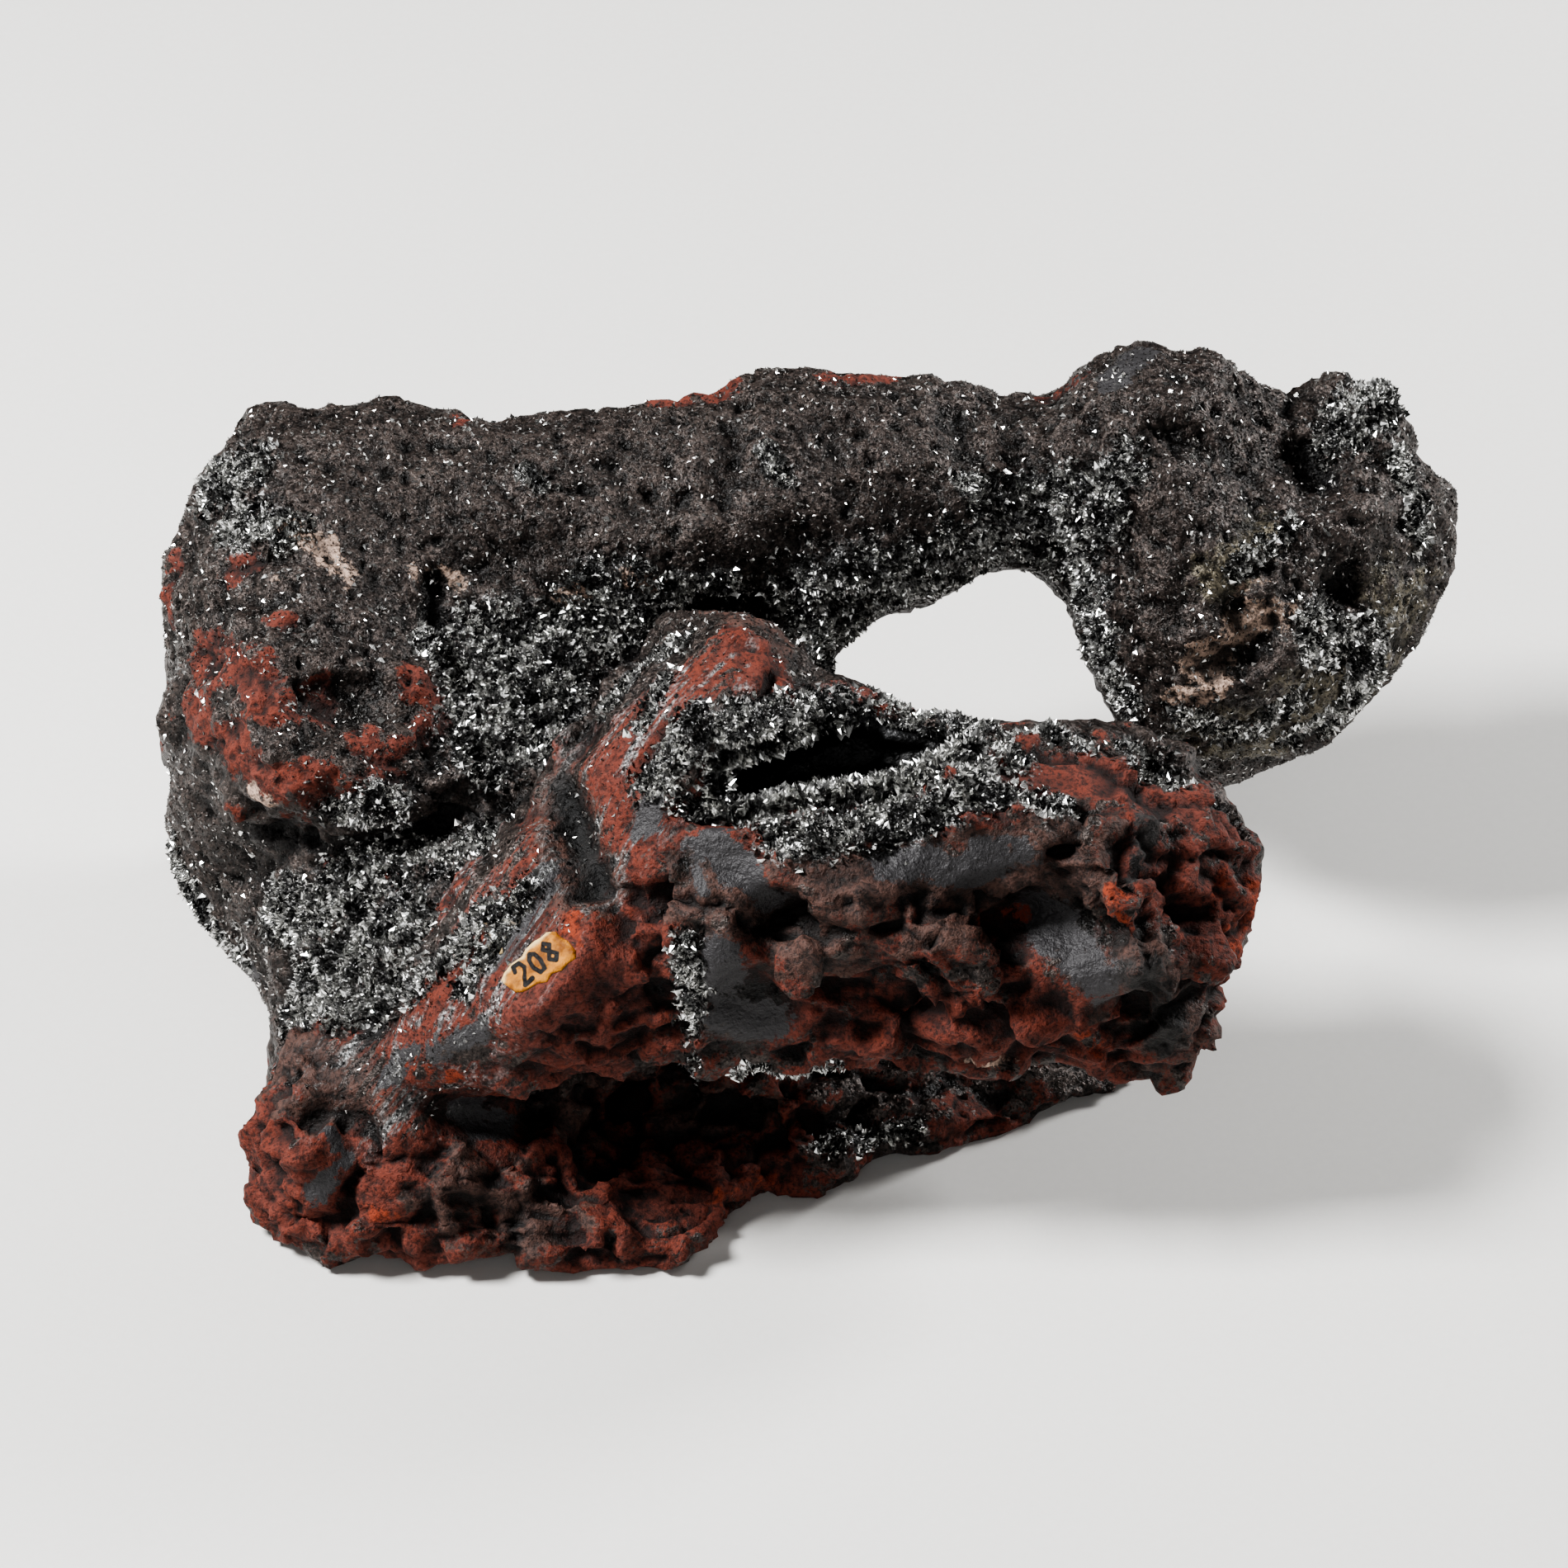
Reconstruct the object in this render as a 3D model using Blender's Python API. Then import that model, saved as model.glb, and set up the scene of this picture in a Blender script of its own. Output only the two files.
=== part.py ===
"""Hand specimen of specular hematite: a C-shaped lump of iron ore with two arms and a crystal-lined vug.

The form is laid out as it is seen from one viewpoint, in front of the specimen and above it. A place on the
visible surface is (across, down, near): across and down are positions in a square view of 1900 units, and
near is how far the place stands in front of the plane through the aim point, in millimetres.
"""

from math import cos, pi, radians, sin, tan

import bmesh
import bpy
import numpy as np
from mathutils import Vector, noise
from mathutils.bvhtree import BVHTree
from mathutils.geometry import delaunay_2d_cdt

MM = 0.001

# Driving dimensions
VIEW_SIZE = 1900
VIEW_UNIT = 0.1 * MM
VIEW_DISTANCE = 800 * MM
VIEW_ELEVATION = radians(40)
AIM_POINT = Vector((-3.8, -10.6, 42.4)) * MM
GROUND_SINK = 1.2 * MM
FOOT_SNAP = 0.3 * MM
BACK_LIMIT = 42 * MM
GRID_STEP = 26
BLEND_VOXEL = 1.5 * MM
ROCK_TRIANGLES = 7500
PLACE_DECIMALS = 6
FIT_GAP = 0.35 * MM

RIGHT = Vector((1, 0, 0))
UP = Vector((0, sin(VIEW_ELEVATION), cos(VIEW_ELEVATION)))
NEAR = Vector((0, -cos(VIEW_ELEVATION), sin(VIEW_ELEVATION)))
EYE = AIM_POINT + NEAR * VIEW_DISTANCE


def place(across, down, near):
    """The point of the model seen at (across, down), near millimetres in front of the aim plane."""
    shrink = 1 - near * MM / VIEW_DISTANCE
    sideways = (across - VIEW_SIZE / 2) * VIEW_UNIT * shrink
    upwards = (VIEW_SIZE / 2 - down) * VIEW_UNIT * shrink
    return AIM_POINT + RIGHT * sideways + UP * upwards + NEAR * near * MM


def clear_scene():
    for old in list(bpy.data.objects):
        bpy.data.objects.remove(old)


def add_object(name, mesh):
    made = bpy.data.objects.new(name, mesh)
    bpy.context.scene.collection.objects.link(made)
    return made


def material(name, colour, roughness, metallic):
    made = bpy.data.materials.new(name)
    made.use_nodes = True
    shader = made.node_tree.nodes["Principled BSDF"]
    shader.inputs["Base Color"].default_value = (*colour, 1)
    shader.inputs["Roughness"].default_value = roughness
    shader.inputs["Metallic"].default_value = metallic
    return made


# Masses: an outline seen from the viewpoint, a front face through control places, and a thickness behind it

OUTLINE_GROWTH = 7
RIM_WIDTH = 55
BELLY_WIDTH = 150
SOFTNESS = 45


def smooth_through(controls):
    """A function of view positions that passes smoothly through each control's near value."""
    spots = np.array([control[:2] for control in controls], float)
    heights = np.array([control[2] for control in controls], float)

    def spread(a, b):
        apart = a[:, None, :] - b[None, :, :]
        return np.sqrt((apart**2).sum(axis=2) + SOFTNESS**2)

    weights = np.linalg.solve(spread(spots, spots), heights - heights.mean())
    return lambda places: spread(places, spots) @ weights + heights.mean()


def distance_to_path(points, path, closed=False):
    """How far each point is from the line through path, in any number of dimensions."""
    ends = np.roll(path, -1, axis=0) if closed else path[1:]
    starts = path if closed else path[:-1]
    if len(path) == 1:
        return np.linalg.norm(points - path[0], axis=1)
    nearest = np.full(len(points), np.inf)
    for start, end in zip(starts, ends):
        along = end - start
        share = np.clip((points - start) @ along / max(along @ along, 1e-12), 0, 1)
        nearest = np.minimum(nearest, np.linalg.norm(points - start - share[:, None] * along, axis=1))
    return nearest


def inside_outline(points, outline):
    """Which points lie inside the closed outline, by counting its crossings to the right."""
    inside = np.zeros(len(points), bool)
    for (x0, y0), (x1, y1) in zip(outline, np.roll(outline, -1, axis=0)):
        if y0 == y1:
            continue
        spans = (y0 > points[:, 1]) != (y1 > points[:, 1])
        crossing = x0 + (points[:, 1] - y0) * (x1 - x0) / (y1 - y0)
        inside ^= spans & (points[:, 0] < crossing)
    return inside


def grown(outline, by):
    """The closed outline with every corner moved outwards."""
    run = np.roll(outline, -1, axis=0) - np.roll(outline, 1, axis=0)
    outwards = np.column_stack([run[:, 1], -run[:, 0]]) / np.linalg.norm(run, axis=1)[:, None]
    return outline + outwards * by


def mass(outline, controls, thickness=None, shrink=1.0, rim_drop=4.0, belly=0.0):
    """A closed mesh: the front face through controls, and a back either thickness behind it or on the ground.

    The back lies deeper towards the middle, by belly times the thickness.
    """
    outline = grown(np.array(outline, float), OUTLINE_GROWTH)
    low, high = outline.min(axis=0), outline.max(axis=0)
    across, down = np.meshgrid(
        np.arange(low[0], high[0], GRID_STEP), np.arange(low[1], high[1], GRID_STEP)
    )
    grid = np.column_stack([across.ravel(), down.ravel()])
    clear = distance_to_path(grid, outline, closed=True) > GRID_STEP * 0.5
    grid = grid[inside_outline(grid, outline) & clear]
    points = np.vstack([outline, grid])
    ring = [(i, (i + 1) % len(outline)) for i in range(len(outline))]
    flat, _, faces, *_ = delaunay_2d_cdt([Vector(p) for p in points], ring, [], 1, 1e-3)
    flat = np.array([tuple(p) for p in flat])

    near = smooth_through(controls)(flat)
    from_edge = distance_to_path(flat, outline, closed=True)
    near -= rim_drop * np.clip(1 - from_edge / RIM_WIDTH, 0, 1) ** 2
    fronts = [place(a, d, n) for (a, d), n in zip(flat, near)]
    if thickness is None:
        reach = [min(p.y + p.z / tan(VIEW_ELEVATION), BACK_LIMIT) for p in fronts]
        backs = [Vector((p.x, y, -GROUND_SINK)) for p, y in zip(fronts, reach)]
    else:
        middle = sum(fronts, Vector()) / len(fronts)
        swell = 1 + belly * np.sin(np.clip(from_edge / BELLY_WIDTH, 0, 1) * pi / 2)
        backs = [
            middle + (p - middle) * shrink + Vector(thickness) * MM * grow for p, grow in zip(fronts, swell)
        ]

    made = bmesh.new()
    front = [made.verts.new(p) for p in fronts]
    back = [made.verts.new(p) for p in backs]
    for face in faces:
        made.faces.new([front[i] for i in face])
        made.faces.new([back[i] for i in reversed(face)])
    for border in [edge for edge in made.edges if edge.is_boundary and edge.verts[0] in set(front)]:
        first, second = (front.index(v) for v in border.verts)
        made.faces.new([front[first], front[second], back[second], back[first]])
    bmesh.ops.recalc_face_normals(made, faces=made.faces)
    return made


def left_body():
    """The main body: the dark upper slope, the red lump, the crystal basin and the base's front."""
    outline = [
        (290, 503), (312, 482), (380, 485), (430, 470), (465, 467), (500, 480), (520, 502), (600, 503),
        (628, 489), (700, 487), (760, 487), (800, 475), (850, 470), (888, 468), (903, 453), (960, 451),
        (990, 600), (1000, 740), (1000, 1000), (985, 1250), (1000, 1392), (942, 1435), (900, 1465),
        (860, 1490), (820, 1520), (765, 1541), (700, 1535), (600, 1540), (500, 1533), (400, 1527),
        (312, 1513), (297, 1465), (310, 1440), (303, 1410), (293, 1385), (305, 1355), (320, 1335),
        (328, 1290), (320, 1240), (300, 1190), (270, 1155), (240, 1115), (205, 1060), (192, 1025),
        (197, 985), (208, 950), (212, 920), (195, 890), (193, 870), (210, 830), (207, 790), (200, 740),
        (198, 670), (225, 640), (228, 580), (250, 565), (275, 540),
    ]
    controls = [
        (300, 520, -15), (460, 490, -14), (620, 515, -14), (800, 495, -14), (900, 470, -12), (980, 470, -12),
        (300, 600, -9), (450, 600, -8), (620, 600, -8), (800, 600, -9), (950, 600, -7),
        (620, 690, -8), (780, 690, -8), (900, 690, -8), (560, 760, -6), (650, 800, -6), (760, 750, -11),
        (620, 880, -5), (700, 860, -6), (860, 730, -14), (960, 720, -14), (230, 620, -14), (215, 740, -10),
        (215, 900, -10), (205, 1030, -20), (250, 1100, -20), (310, 1200, -16), (300, 720, 0), (420, 740, 2),
        (300, 850, 6), (420, 850, 6), (500, 830, 4), (330, 960, 8), (430, 965, 9), (540, 900, 2),
        (320, 1050, -11), (450, 1045, 2), (560, 1030, 6), (330, 1130, -8), (400, 1130, -1),
        (500, 1110, 5), (400, 1215, 2), (350, 1270, 4), (560, 1200, 10), (450, 1290, 11), (640, 1050, 9),
        (325, 1345, 7), (330, 1410, 9), (320, 1490, 6), (450, 1370, 12), (450, 1450, 11), (450, 1515, 7),
        (600, 1390, 6), (600, 1460, 9), (600, 1525, 9), (760, 1380, -2), (760, 1460, 5), (765, 1530, 10),
        (880, 1370, -6), (880, 1440, 1), (850, 1480, 6), (940, 1410, -2), (980, 1370, -6),
        (800, 1000, 0), (900, 900, -6), (950, 1100, -8), (800, 1200, 0),
    ]
    return mass(outline, controls)


def back_arm():
    """The bridge above the gap and the big lobe at its end, held clear of the ground by the main body."""
    outline = [
        (870, 470), (903, 453), (1000, 450), (1100, 455), (1190, 462), (1205, 482), (1228, 488), (1280, 475),
        (1310, 450), (1330, 430), (1345, 416), (1375, 408), (1420, 415), (1480, 432), (1520, 455),
        (1545, 480), (1560, 497), (1578, 473), (1600, 460), (1640, 457), (1675, 463), (1700, 500),
        (1712, 540), (1740, 570), (1775, 592), (1777, 612), (1760, 645), (1760, 680), (1735, 735),
        (1715, 782), (1690, 820), (1655, 865), (1600, 900), (1540, 935), (1500, 947), (1480, 955),
        (1440, 950), (1395, 925), (1370, 875), (1340, 840), (1328, 790), (1320, 735), (1303, 700),
        (1280, 668), (1220, 665), (1180, 682), (1155, 703), (1120, 722), (1080, 737), (1040, 742),
        (1008, 762), (930, 780), (880, 700),
    ]
    controls = [
        (900, 480, -13), (1000, 480, -12), (1100, 480, -14), (1220, 505, -18), (1300, 485, -16),
        (1375, 430, -15), (1480, 450, -17), (1555, 515, -25), (1640, 475, -22), (1690, 520, -24),
        (1760, 600, -27), (1740, 700, -28), (1660, 840, -28), (1550, 915, -28), (1480, 935, -28),
        (960, 600, -8), (1100, 600, -10), (1200, 600, -14), (1350, 560, -11), (1450, 520, -10),
        (1350, 680, -12), (1450, 650, -7), (1450, 750, -7), (1560, 620, -13), (1650, 600, -16),
        (1560, 720, -9), (1600, 800, -14), (1500, 850, -12), (1420, 850, -14), (1380, 780, -13),
        (950, 720, -13), (1060, 700, -13), (1160, 660, -15), (1290, 690, -19), (1345, 830, -22),
    ]
    return mass(outline, controls, thickness=(-2, 12, -12), shrink=0.86, rim_drop=6.0, belly=1.1)


def front_arm():
    """The arm that reaches out over the base, with the polished ramp at its left and the torn front face."""
    outline = [
        (800, 742), (860, 742), (905, 738), (940, 755), (965, 790), (1010, 815), (1060, 835), (1105, 858),
        (1165, 865), (1220, 878), (1262, 872), (1320, 882), (1390, 888), (1440, 903), (1470, 932),
        (1487, 965), (1512, 1000), (1535, 1052), (1538, 1085), (1530, 1120), (1502, 1150), (1486, 1182),
        (1484, 1205), (1470, 1250), (1455, 1280), (1440, 1300), (1415, 1320), (1380, 1322), (1330, 1300),
        (1260, 1302), (1200, 1312), (1150, 1305), (1080, 1290), (1020, 1280), (960, 1298), (900, 1302),
        (840, 1295), (800, 1285), (740, 1292), (690, 1312), (640, 1325), (600, 1330), (540, 1330),
        (490, 1322), (460, 1305), (472, 1250), (520, 1150), (560, 1080), (610, 1010), (650, 950),
        (690, 880), (740, 810),
    ]
    controls = [
        (810, 762, 12), (880, 755, 17), (950, 800, 18), (1050, 855, 18), (1150, 880, 18), (1260, 890, 16),
        (1380, 905, 14), (1430, 925, 12), (900, 830, 25), (850, 900, 25), (1000, 870, 22), (1000, 1010, 27),
        (1150, 1000, 27), (1300, 990, 26), (1400, 1000, 24), (1470, 1020, 18), (1520, 1080, 13),
        (1180, 930, 24), (820, 1060, 26), (950, 1080, 30), (1100, 1080, 30), (1250, 1080, 29),
        (1400, 1100, 26), (1480, 1120, 18), (750, 1150, 25), (900, 1180, 26), (1050, 1180, 28),
        (1200, 1180, 26), (1350, 1180, 27), (1440, 1180, 20), (650, 1170, 26), (620, 1240, 23),
        (700, 1260, 22), (850, 1260, 20), (1000, 1240, 20), (1150, 1260, 22), (1300, 1260, 20),
        (1420, 1270, 15), (540, 1300, 17), (600, 1310, 17), (700, 1295, 18), (520, 1240, 17),
        (560, 1170, 18), (610, 1080, 19), (660, 1000, 19), (720, 900, 20), (760, 820, 17), (490, 1285, 15),
    ]
    return mass(outline, controls, thickness=(0, 16, -10), shrink=0.84, rim_drop=3.5, belly=0.4)


def base_shelf():
    """The low shelf that runs out under the front arm and carries the right end."""
    made = bmesh.new()
    corners = [
        place(900, 1452, -5), place(1000, 1418, -9), place(1180, 1384, -14), place(1300, 1360, -17),
        place(1420, 1335, -20), Vector((44, 12, 0)) * MM, Vector((34, 31, 0)) * MM, Vector((-18, 34, 0)) * MM,
        place(940, 1420, -3), place(1060, 1380, -8), place(1300, 1336, -13),
        Vector((-18, -20, 20)) * MM, Vector((12, -8, 17)) * MM, Vector((33, -1, 14)) * MM,
        Vector((24, 24, 13)) * MM, Vector((-18, 30, 24)) * MM,
    ]
    for corner in corners:
        made.verts.new(corner)
    for corner in corners[:8]:
        made.verts.new(Vector((corner.x, corner.y, -GROUND_SINK)))
    bmesh.ops.convex_hull(made, input=made.verts)
    return made


def joined_masses():
    """One object from all the masses, melted together at the voxel size."""
    whole = bpy.data.meshes.new("hematite_rock")
    gathered = bmesh.new()
    for part in (left_body(), back_arm(), front_arm(), base_shelf()):
        held = bpy.data.meshes.new("part_mass")
        part.to_mesh(held)
        part.free()
        gathered.from_mesh(held)
        bpy.data.meshes.remove(held)
    gathered.to_mesh(whole)
    gathered.free()
    return add_object("hematite_rock", whole)


# Surface work on the joined rock

def settle(rock):
    """Replaces the rock's mesh by what its modifiers make of it."""
    evaluated = rock.evaluated_get(bpy.context.evaluated_depsgraph_get())
    made = bpy.data.meshes.new_from_object(evaluated)
    rock.modifiers.clear()
    rock.data = made


def melt(rock, voxel):
    remesh = rock.modifiers.new("melt", "REMESH")
    remesh.mode = "VOXEL"
    remesh.voxel_size = voxel
    settle(rock)


def soften(rock, factor, turns):
    smooth = rock.modifiers.new("soften", "SMOOTH")
    smooth.factor = factor
    smooth.iterations = turns
    settle(rock)


def vertex_places(rock):
    values = np.empty(len(rock.data.vertices) * 3)
    rock.data.vertices.foreach_get("co", values)
    return values.reshape(-1, 3)


def vertex_normals(rock):
    values = np.empty(len(rock.data.vertices) * 3)
    rock.data.vertex_normals.foreach_get("vector", values)
    return values.reshape(-1, 3)


def set_vertex_places(rock, values):
    """Moves the vertices, to a grid so fine that it only takes away what a computer's rounding leaves."""
    rock.data.vertices.foreach_set("co", np.round(values, PLACE_DECIMALS).ravel())
    rock.data.update()


def on_surface(rock, spots):
    """Where each (across, down) is seen on the rock, as points of the model."""
    tree = BVHTree.FromObject(rock, bpy.context.evaluated_depsgraph_get())
    found = []
    for across, down in spots:
        towards = (place(across, down, 0) - EYE).normalized()
        hit = tree.ray_cast(EYE, towards)[0]
        if hit is not None:
            found.append(tuple(hit))
    return np.array(found)


# Each stroke: how deep and how wide it is in millimetres, and the places it runs through. Deep is into the
# rock, away from the viewpoint; a negative depth raises a ridge.
STROKES = {
    "crevice under the red lump": (9, 2.8, [(305, 1008), (400, 1022), (480, 1012), (560, 1003), (640, 985)]),
    "crevice end": (5, 2.6, [(640, 985), (690, 950)]),
    "finger over the crevice": (-3.5, 4.5, [(440, 985), (520, 975)]),
    "crack beside the lump": (5, 3.0, [(522, 712), (520, 770), (560, 830), (575, 870)]),
    "hollow on the lump": (4, 5.0, [(450, 835), (440, 865)]),
    "notch in the ramp": (8, 2.6, [(460, 1200), (456, 1245)]),
    "recess behind the ramp": (5, 4.5, [(690, 975), (705, 1030), (720, 1070)]),
    "valley foot": (4, 5.0, [(700, 905), (780, 800), (850, 735), (960, 745)]),
    "front cavity": (7, 7.0, [(1200, 1120), (1260, 1100), (1300, 1110)]),
    "front cavity floor": (3, 8.0, [(1290, 1140)]),
    "round pit": (4, 4.6, [(1385, 1035)]),
    "end hollow": (2.5, 8.0, [(1430, 1090), (1480, 1060)]),
    "undercut below the vug": (4, 4.0, [(950, 1112), (1060, 1122)]),
    "small hollow": (3.5, 3.5, [(845, 1128)]),
    "dark face hollow": (3.5, 6.0, [(1010, 1190), (1060, 1180)]),
    "gap under the crystal ledge": (6, 3.5, [(830, 1292), (900, 1288), (1010, 1290)]),
    "lower ledge": (-4, 4.0, [(860, 1325), (1000, 1330)]),
    "overhang shadow": (5, 7.0, [(650, 1345), (760, 1345), (880, 1350)]),
    "scoop by the arch": (4, 4.5, [(540, 1345), (580, 1355)]),
    "base ledge": (-3, 5.0, [(330, 1350), (380, 1390)]),
    "front cleft": (3, 2.6, [(800, 1150), (815, 1210)]),
    "right cleft": (3, 2.8, [(1300, 1040), (1330, 1110), (1350, 1150)]),
    "right foot hollow": (4, 6.0, [(1370, 1230), (1420, 1210)]),
    "lobe pit one": (5, 5.0, [(1425, 530), (1450, 540)]),
    "lobe pit two": (7, 5.0, [(1590, 560), (1600, 590)]),
    "lobe pit three": (5, 3.6, [(1500, 735)]),
    "lobe pit four": (6, 4.0, [(1625, 700), (1630, 725)]),
    "lobe pit five": (4, 3.6, [(1680, 690)]),
    "lobe groove": (5, 5.0, [(1470, 810), (1500, 800), (1530, 770)]),
    "lobe fold": (4, 6.0, [(1440, 900), (1490, 880)]),
    "plate step": (2.5, 3.5, [(893, 480), (890, 560), (885, 600)]),
    "plate notch": (4, 4.0, [(1150, 500), (1165, 540)]),
    "plate hollow": (2, 10.0, [(1020, 560), (1070, 620)]),
}

# Fracture faces that trim the sides away from the viewpoint: a point, the way the face looks, and its reach
# in millimetres.
FRACTURES = [
    ((-66, 38, 12), (-0.9, 1.0, -0.35), 42),
    ((-58, 44, 44), (-0.4, 1.0, 0.0), 34),
    ((-30, 43, 34), (0.05, 1.0, 0.4), 34),
    ((-38, 38, 8), (-0.15, 1.0, -0.75), 34),
    ((-10, 38, 24), (0.5, 1.0, -0.1), 38),
    ((2, 32, 6), (0.6, 1.0, -0.3), 30),
    ((-75, 2, 8), (-1.0, 0.1, -0.8), 30),
    ((70, 50, 34), (0.9, 0.9, -0.3), 30),
    ((52, 54, 24), (0.1, 1.0, -0.9), 34),
    ((20, 50, 42), (-0.1, 1.0, -0.3), 30),
]


def work_strokes(rock):
    """Presses each stroke into the rock, deepest along its line."""
    for depth, width, path in STROKES.values():
        line = on_surface(rock, path)
        if not len(line):
            continue
        points = vertex_places(rock)
        share = np.clip(1 - distance_to_path(points, line) / (width * MM), 0, 1)
        share = share * share * (3 - 2 * share)
        set_vertex_places(rock, points - np.outer(share, NEAR) * depth * MM)


def trim_fractures(rock):
    """Pulls what stands out past each fracture face back to it, within its reach."""
    points = vertex_places(rock)
    for spot, looks, reach in FRACTURES:
        spot = np.array(spot) * MM
        looks = np.array(looks) / np.linalg.norm(looks)
        beyond = np.maximum((points - spot) @ looks, 0)
        share = np.clip(1.6 - 1.6 * np.linalg.norm(points - spot, axis=1) / (reach * MM), 0, 1)
        points = points - np.outer(beyond * share, looks)
    set_vertex_places(rock, points)


# Where the face is torn into blocks as it is seen from the viewpoint: half width in millimetres, and the line
# that the torn stretch runs along
TORN = [
    (15, [(700, 1130), (900, 1160), (1150, 1180), (1400, 1150)]),
    (12, [(330, 1400), (550, 1440), (760, 1450)]),
    (11, [(280, 760), (420, 860), (340, 950)]),
]
TORN_FOOT = 11 * MM

# Sizes and heights of the weathering, in millimetres
LUMP_SIZE, LUMP_HEIGHT = 17, 1.3
RIDGE_SIZE, RIDGE_HEIGHT = 11, 0.6
TORN_BLOCK, TORN_HEIGHT = 9, 1.1
HIDDEN_BLOCK, HIDDEN_HEIGHT = 15, 2.2
WOBBLE_SIZE, WOBBLE = 8, 1.5
WOBBLE_SHIFTS = (Vector((0, 0, 0)), Vector((31.4, 0, 0)), Vector((0, 47.2, 0)))
BLOCK_SHUFFLE = 7.3


def block_height(spot, size):
    """A height from -1 to 1 that is the same all over one block and jumps to another at its edges."""
    wobble = Vector([noise.noise(spot / WOBBLE_SIZE + shift) for shift in WOBBLE_SHIFTS]) * WOBBLE
    nearest = noise.voronoi((spot + wobble) / size)[1][0]
    return 2 * noise.cell(nearest * BLOCK_SHUFFLE) - 1


def weather(rock):
    """Pushes the surface in and out: broad lumps, torn ridges, and blocks broken away at several depths."""
    points = vertex_places(rock)
    normals = vertex_normals(rock)
    hidden = np.clip(-1.5 * normals @ np.array(NEAR), 0, 1)
    torn = np.clip(2 - points[:, 2] / TORN_FOOT, 0, 1)
    for width, path in TORN:
        away = distance_to_path(points, on_surface(rock, path))
        torn = np.maximum(torn, np.clip(1.6 - 1.6 * away / (width * MM), 0, 1))
    push = np.empty(len(points))
    for i, point in enumerate(points):
        spot = Vector(point) / MM
        push[i] = LUMP_HEIGHT * noise.fractal(spot / LUMP_SIZE, 0.9, 2.1, 3)
        push[i] += RIDGE_HEIGHT * (noise.ridged_multi_fractal(spot / RIDGE_SIZE, 0.9, 2.2, 4, 0.9, 1.9) - 1.1)
        push[i] += HIDDEN_HEIGHT * hidden[i] * block_height(spot, HIDDEN_BLOCK)
        push[i] += TORN_HEIGHT * torn[i] * block_height(spot, TORN_BLOCK)
    set_vertex_places(rock, points + normals * push[:, None] * MM)


def thin_out(rock, triangles):
    decimate = rock.modifiers.new("thin", "DECIMATE")
    rock.data.calc_loop_triangles()
    decimate.ratio = triangles / len(rock.data.loop_triangles)
    decimate.use_collapse_triangulate = True
    settle(rock)


def cut(rock, cutter):
    """Cuts the rock by the cutter, which stays only as long as the cut takes."""
    boolean = rock.modifiers.new("cut", "BOOLEAN")
    boolean.operation = "DIFFERENCE"
    boolean.object = cutter
    settle(rock)
    bpy.data.objects.remove(cutter)


def mesh_object(name, made):
    """Turns a finished bmesh into an object."""
    mesh = bpy.data.meshes.new(name)
    made.to_mesh(mesh)
    made.free()
    return add_object(name, mesh)


def level_foot(rock):
    """Brings all that reaches the ground, or all but reaches it, level with the ground."""
    points = vertex_places(rock)
    points[points[:, 2] < FOOT_SNAP, 2] = 0
    set_vertex_places(rock, points)


# The vug: a hollow in the top of the front arm, and the crust of crystals that lines it

VUG_CENTRE = (1003, 928)
VUG_LONG = 178
VUG_WIDE = 62
VUG_TILT = radians(-9)
VUG_DEPTH = 13 * MM
VUG_SIDES = 24
VUG_RINGS = 6
VUG_NARROWING = 0.7
CUTTER_REACH = 12 * MM
CRUST_START = 0.5
CRUST_GAP = 0.7 * MM
CRUST_THICKNESS = 1.3 * MM
CRYSTAL_HEIGHT = 1.5 * MM
CRYSTAL_STEP = 0.73


def vug_rim(rock):
    """Points of the rock's surface around the mouth of the vug."""
    spots = []
    for step in range(VUG_SIDES):
        turn = 2 * pi * step / VUG_SIDES
        ragged = 1 + 0.13 * sin(3 * turn + 0.6) + 0.09 * sin(5 * turn + 2.0)
        along, aside = VUG_LONG * ragged * cos(turn), VUG_WIDE * ragged * sin(turn)
        spots.append((
            VUG_CENTRE[0] + along * cos(VUG_TILT) - aside * sin(VUG_TILT),
            VUG_CENTRE[1] + along * sin(VUG_TILT) + aside * cos(VUG_TILT),
        ))
    return [Vector(point) for point in on_surface(rock, spots)]


def vug_bowl(rim, start=0.0):
    """The wall of the vug, in rings from its rim, or from start of a ring below it, to one deepest point."""
    made = bmesh.new()
    middle = sum(rim, Vector()) / len(rim)
    bottom = middle - NEAR * VUG_DEPTH
    rings = []
    for ring in range(VUG_RINGS):
        fall = pi / 2 * ring / VUG_RINGS
        row = []
        for point in rim:
            depth = (point - bottom).dot(NEAR)
            flat = point - bottom - NEAR * depth
            across = flat * cos(fall) ** VUG_NARROWING
            row.append(made.verts.new(bottom + across + NEAR * depth * (1 - sin(fall))))
        rings.append(row)
    for upper, lower in zip(rings[0], rings[1]):
        upper.co = upper.co.lerp(lower.co, start)
    for upper, lower in zip(rings, rings[1:]):
        for i in range(VUG_SIDES):
            j = (i + 1) % VUG_SIDES
            made.faces.new([upper[i], upper[j], lower[j], lower[i]])
    deepest = made.verts.new(bottom)
    for i in range(VUG_SIDES):
        made.faces.new([rings[-1][i], rings[-1][(i + 1) % VUG_SIDES], deepest])
    return made, rings[0]


def vug_cutter(rim):
    """The vug's whole room, out through the rock's surface."""
    made, mouth = vug_bowl(rim)
    outer = [made.verts.new(vertex.co + NEAR * CUTTER_REACH) for vertex in mouth]
    for i in range(VUG_SIDES):
        j = (i + 1) % VUG_SIDES
        made.faces.new([outer[i], outer[j], mouth[j], mouth[i]])
    made.faces.new(outer)
    bmesh.ops.recalc_face_normals(made, faces=made.faces)
    return mesh_object("vug_cutter", made)


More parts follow.
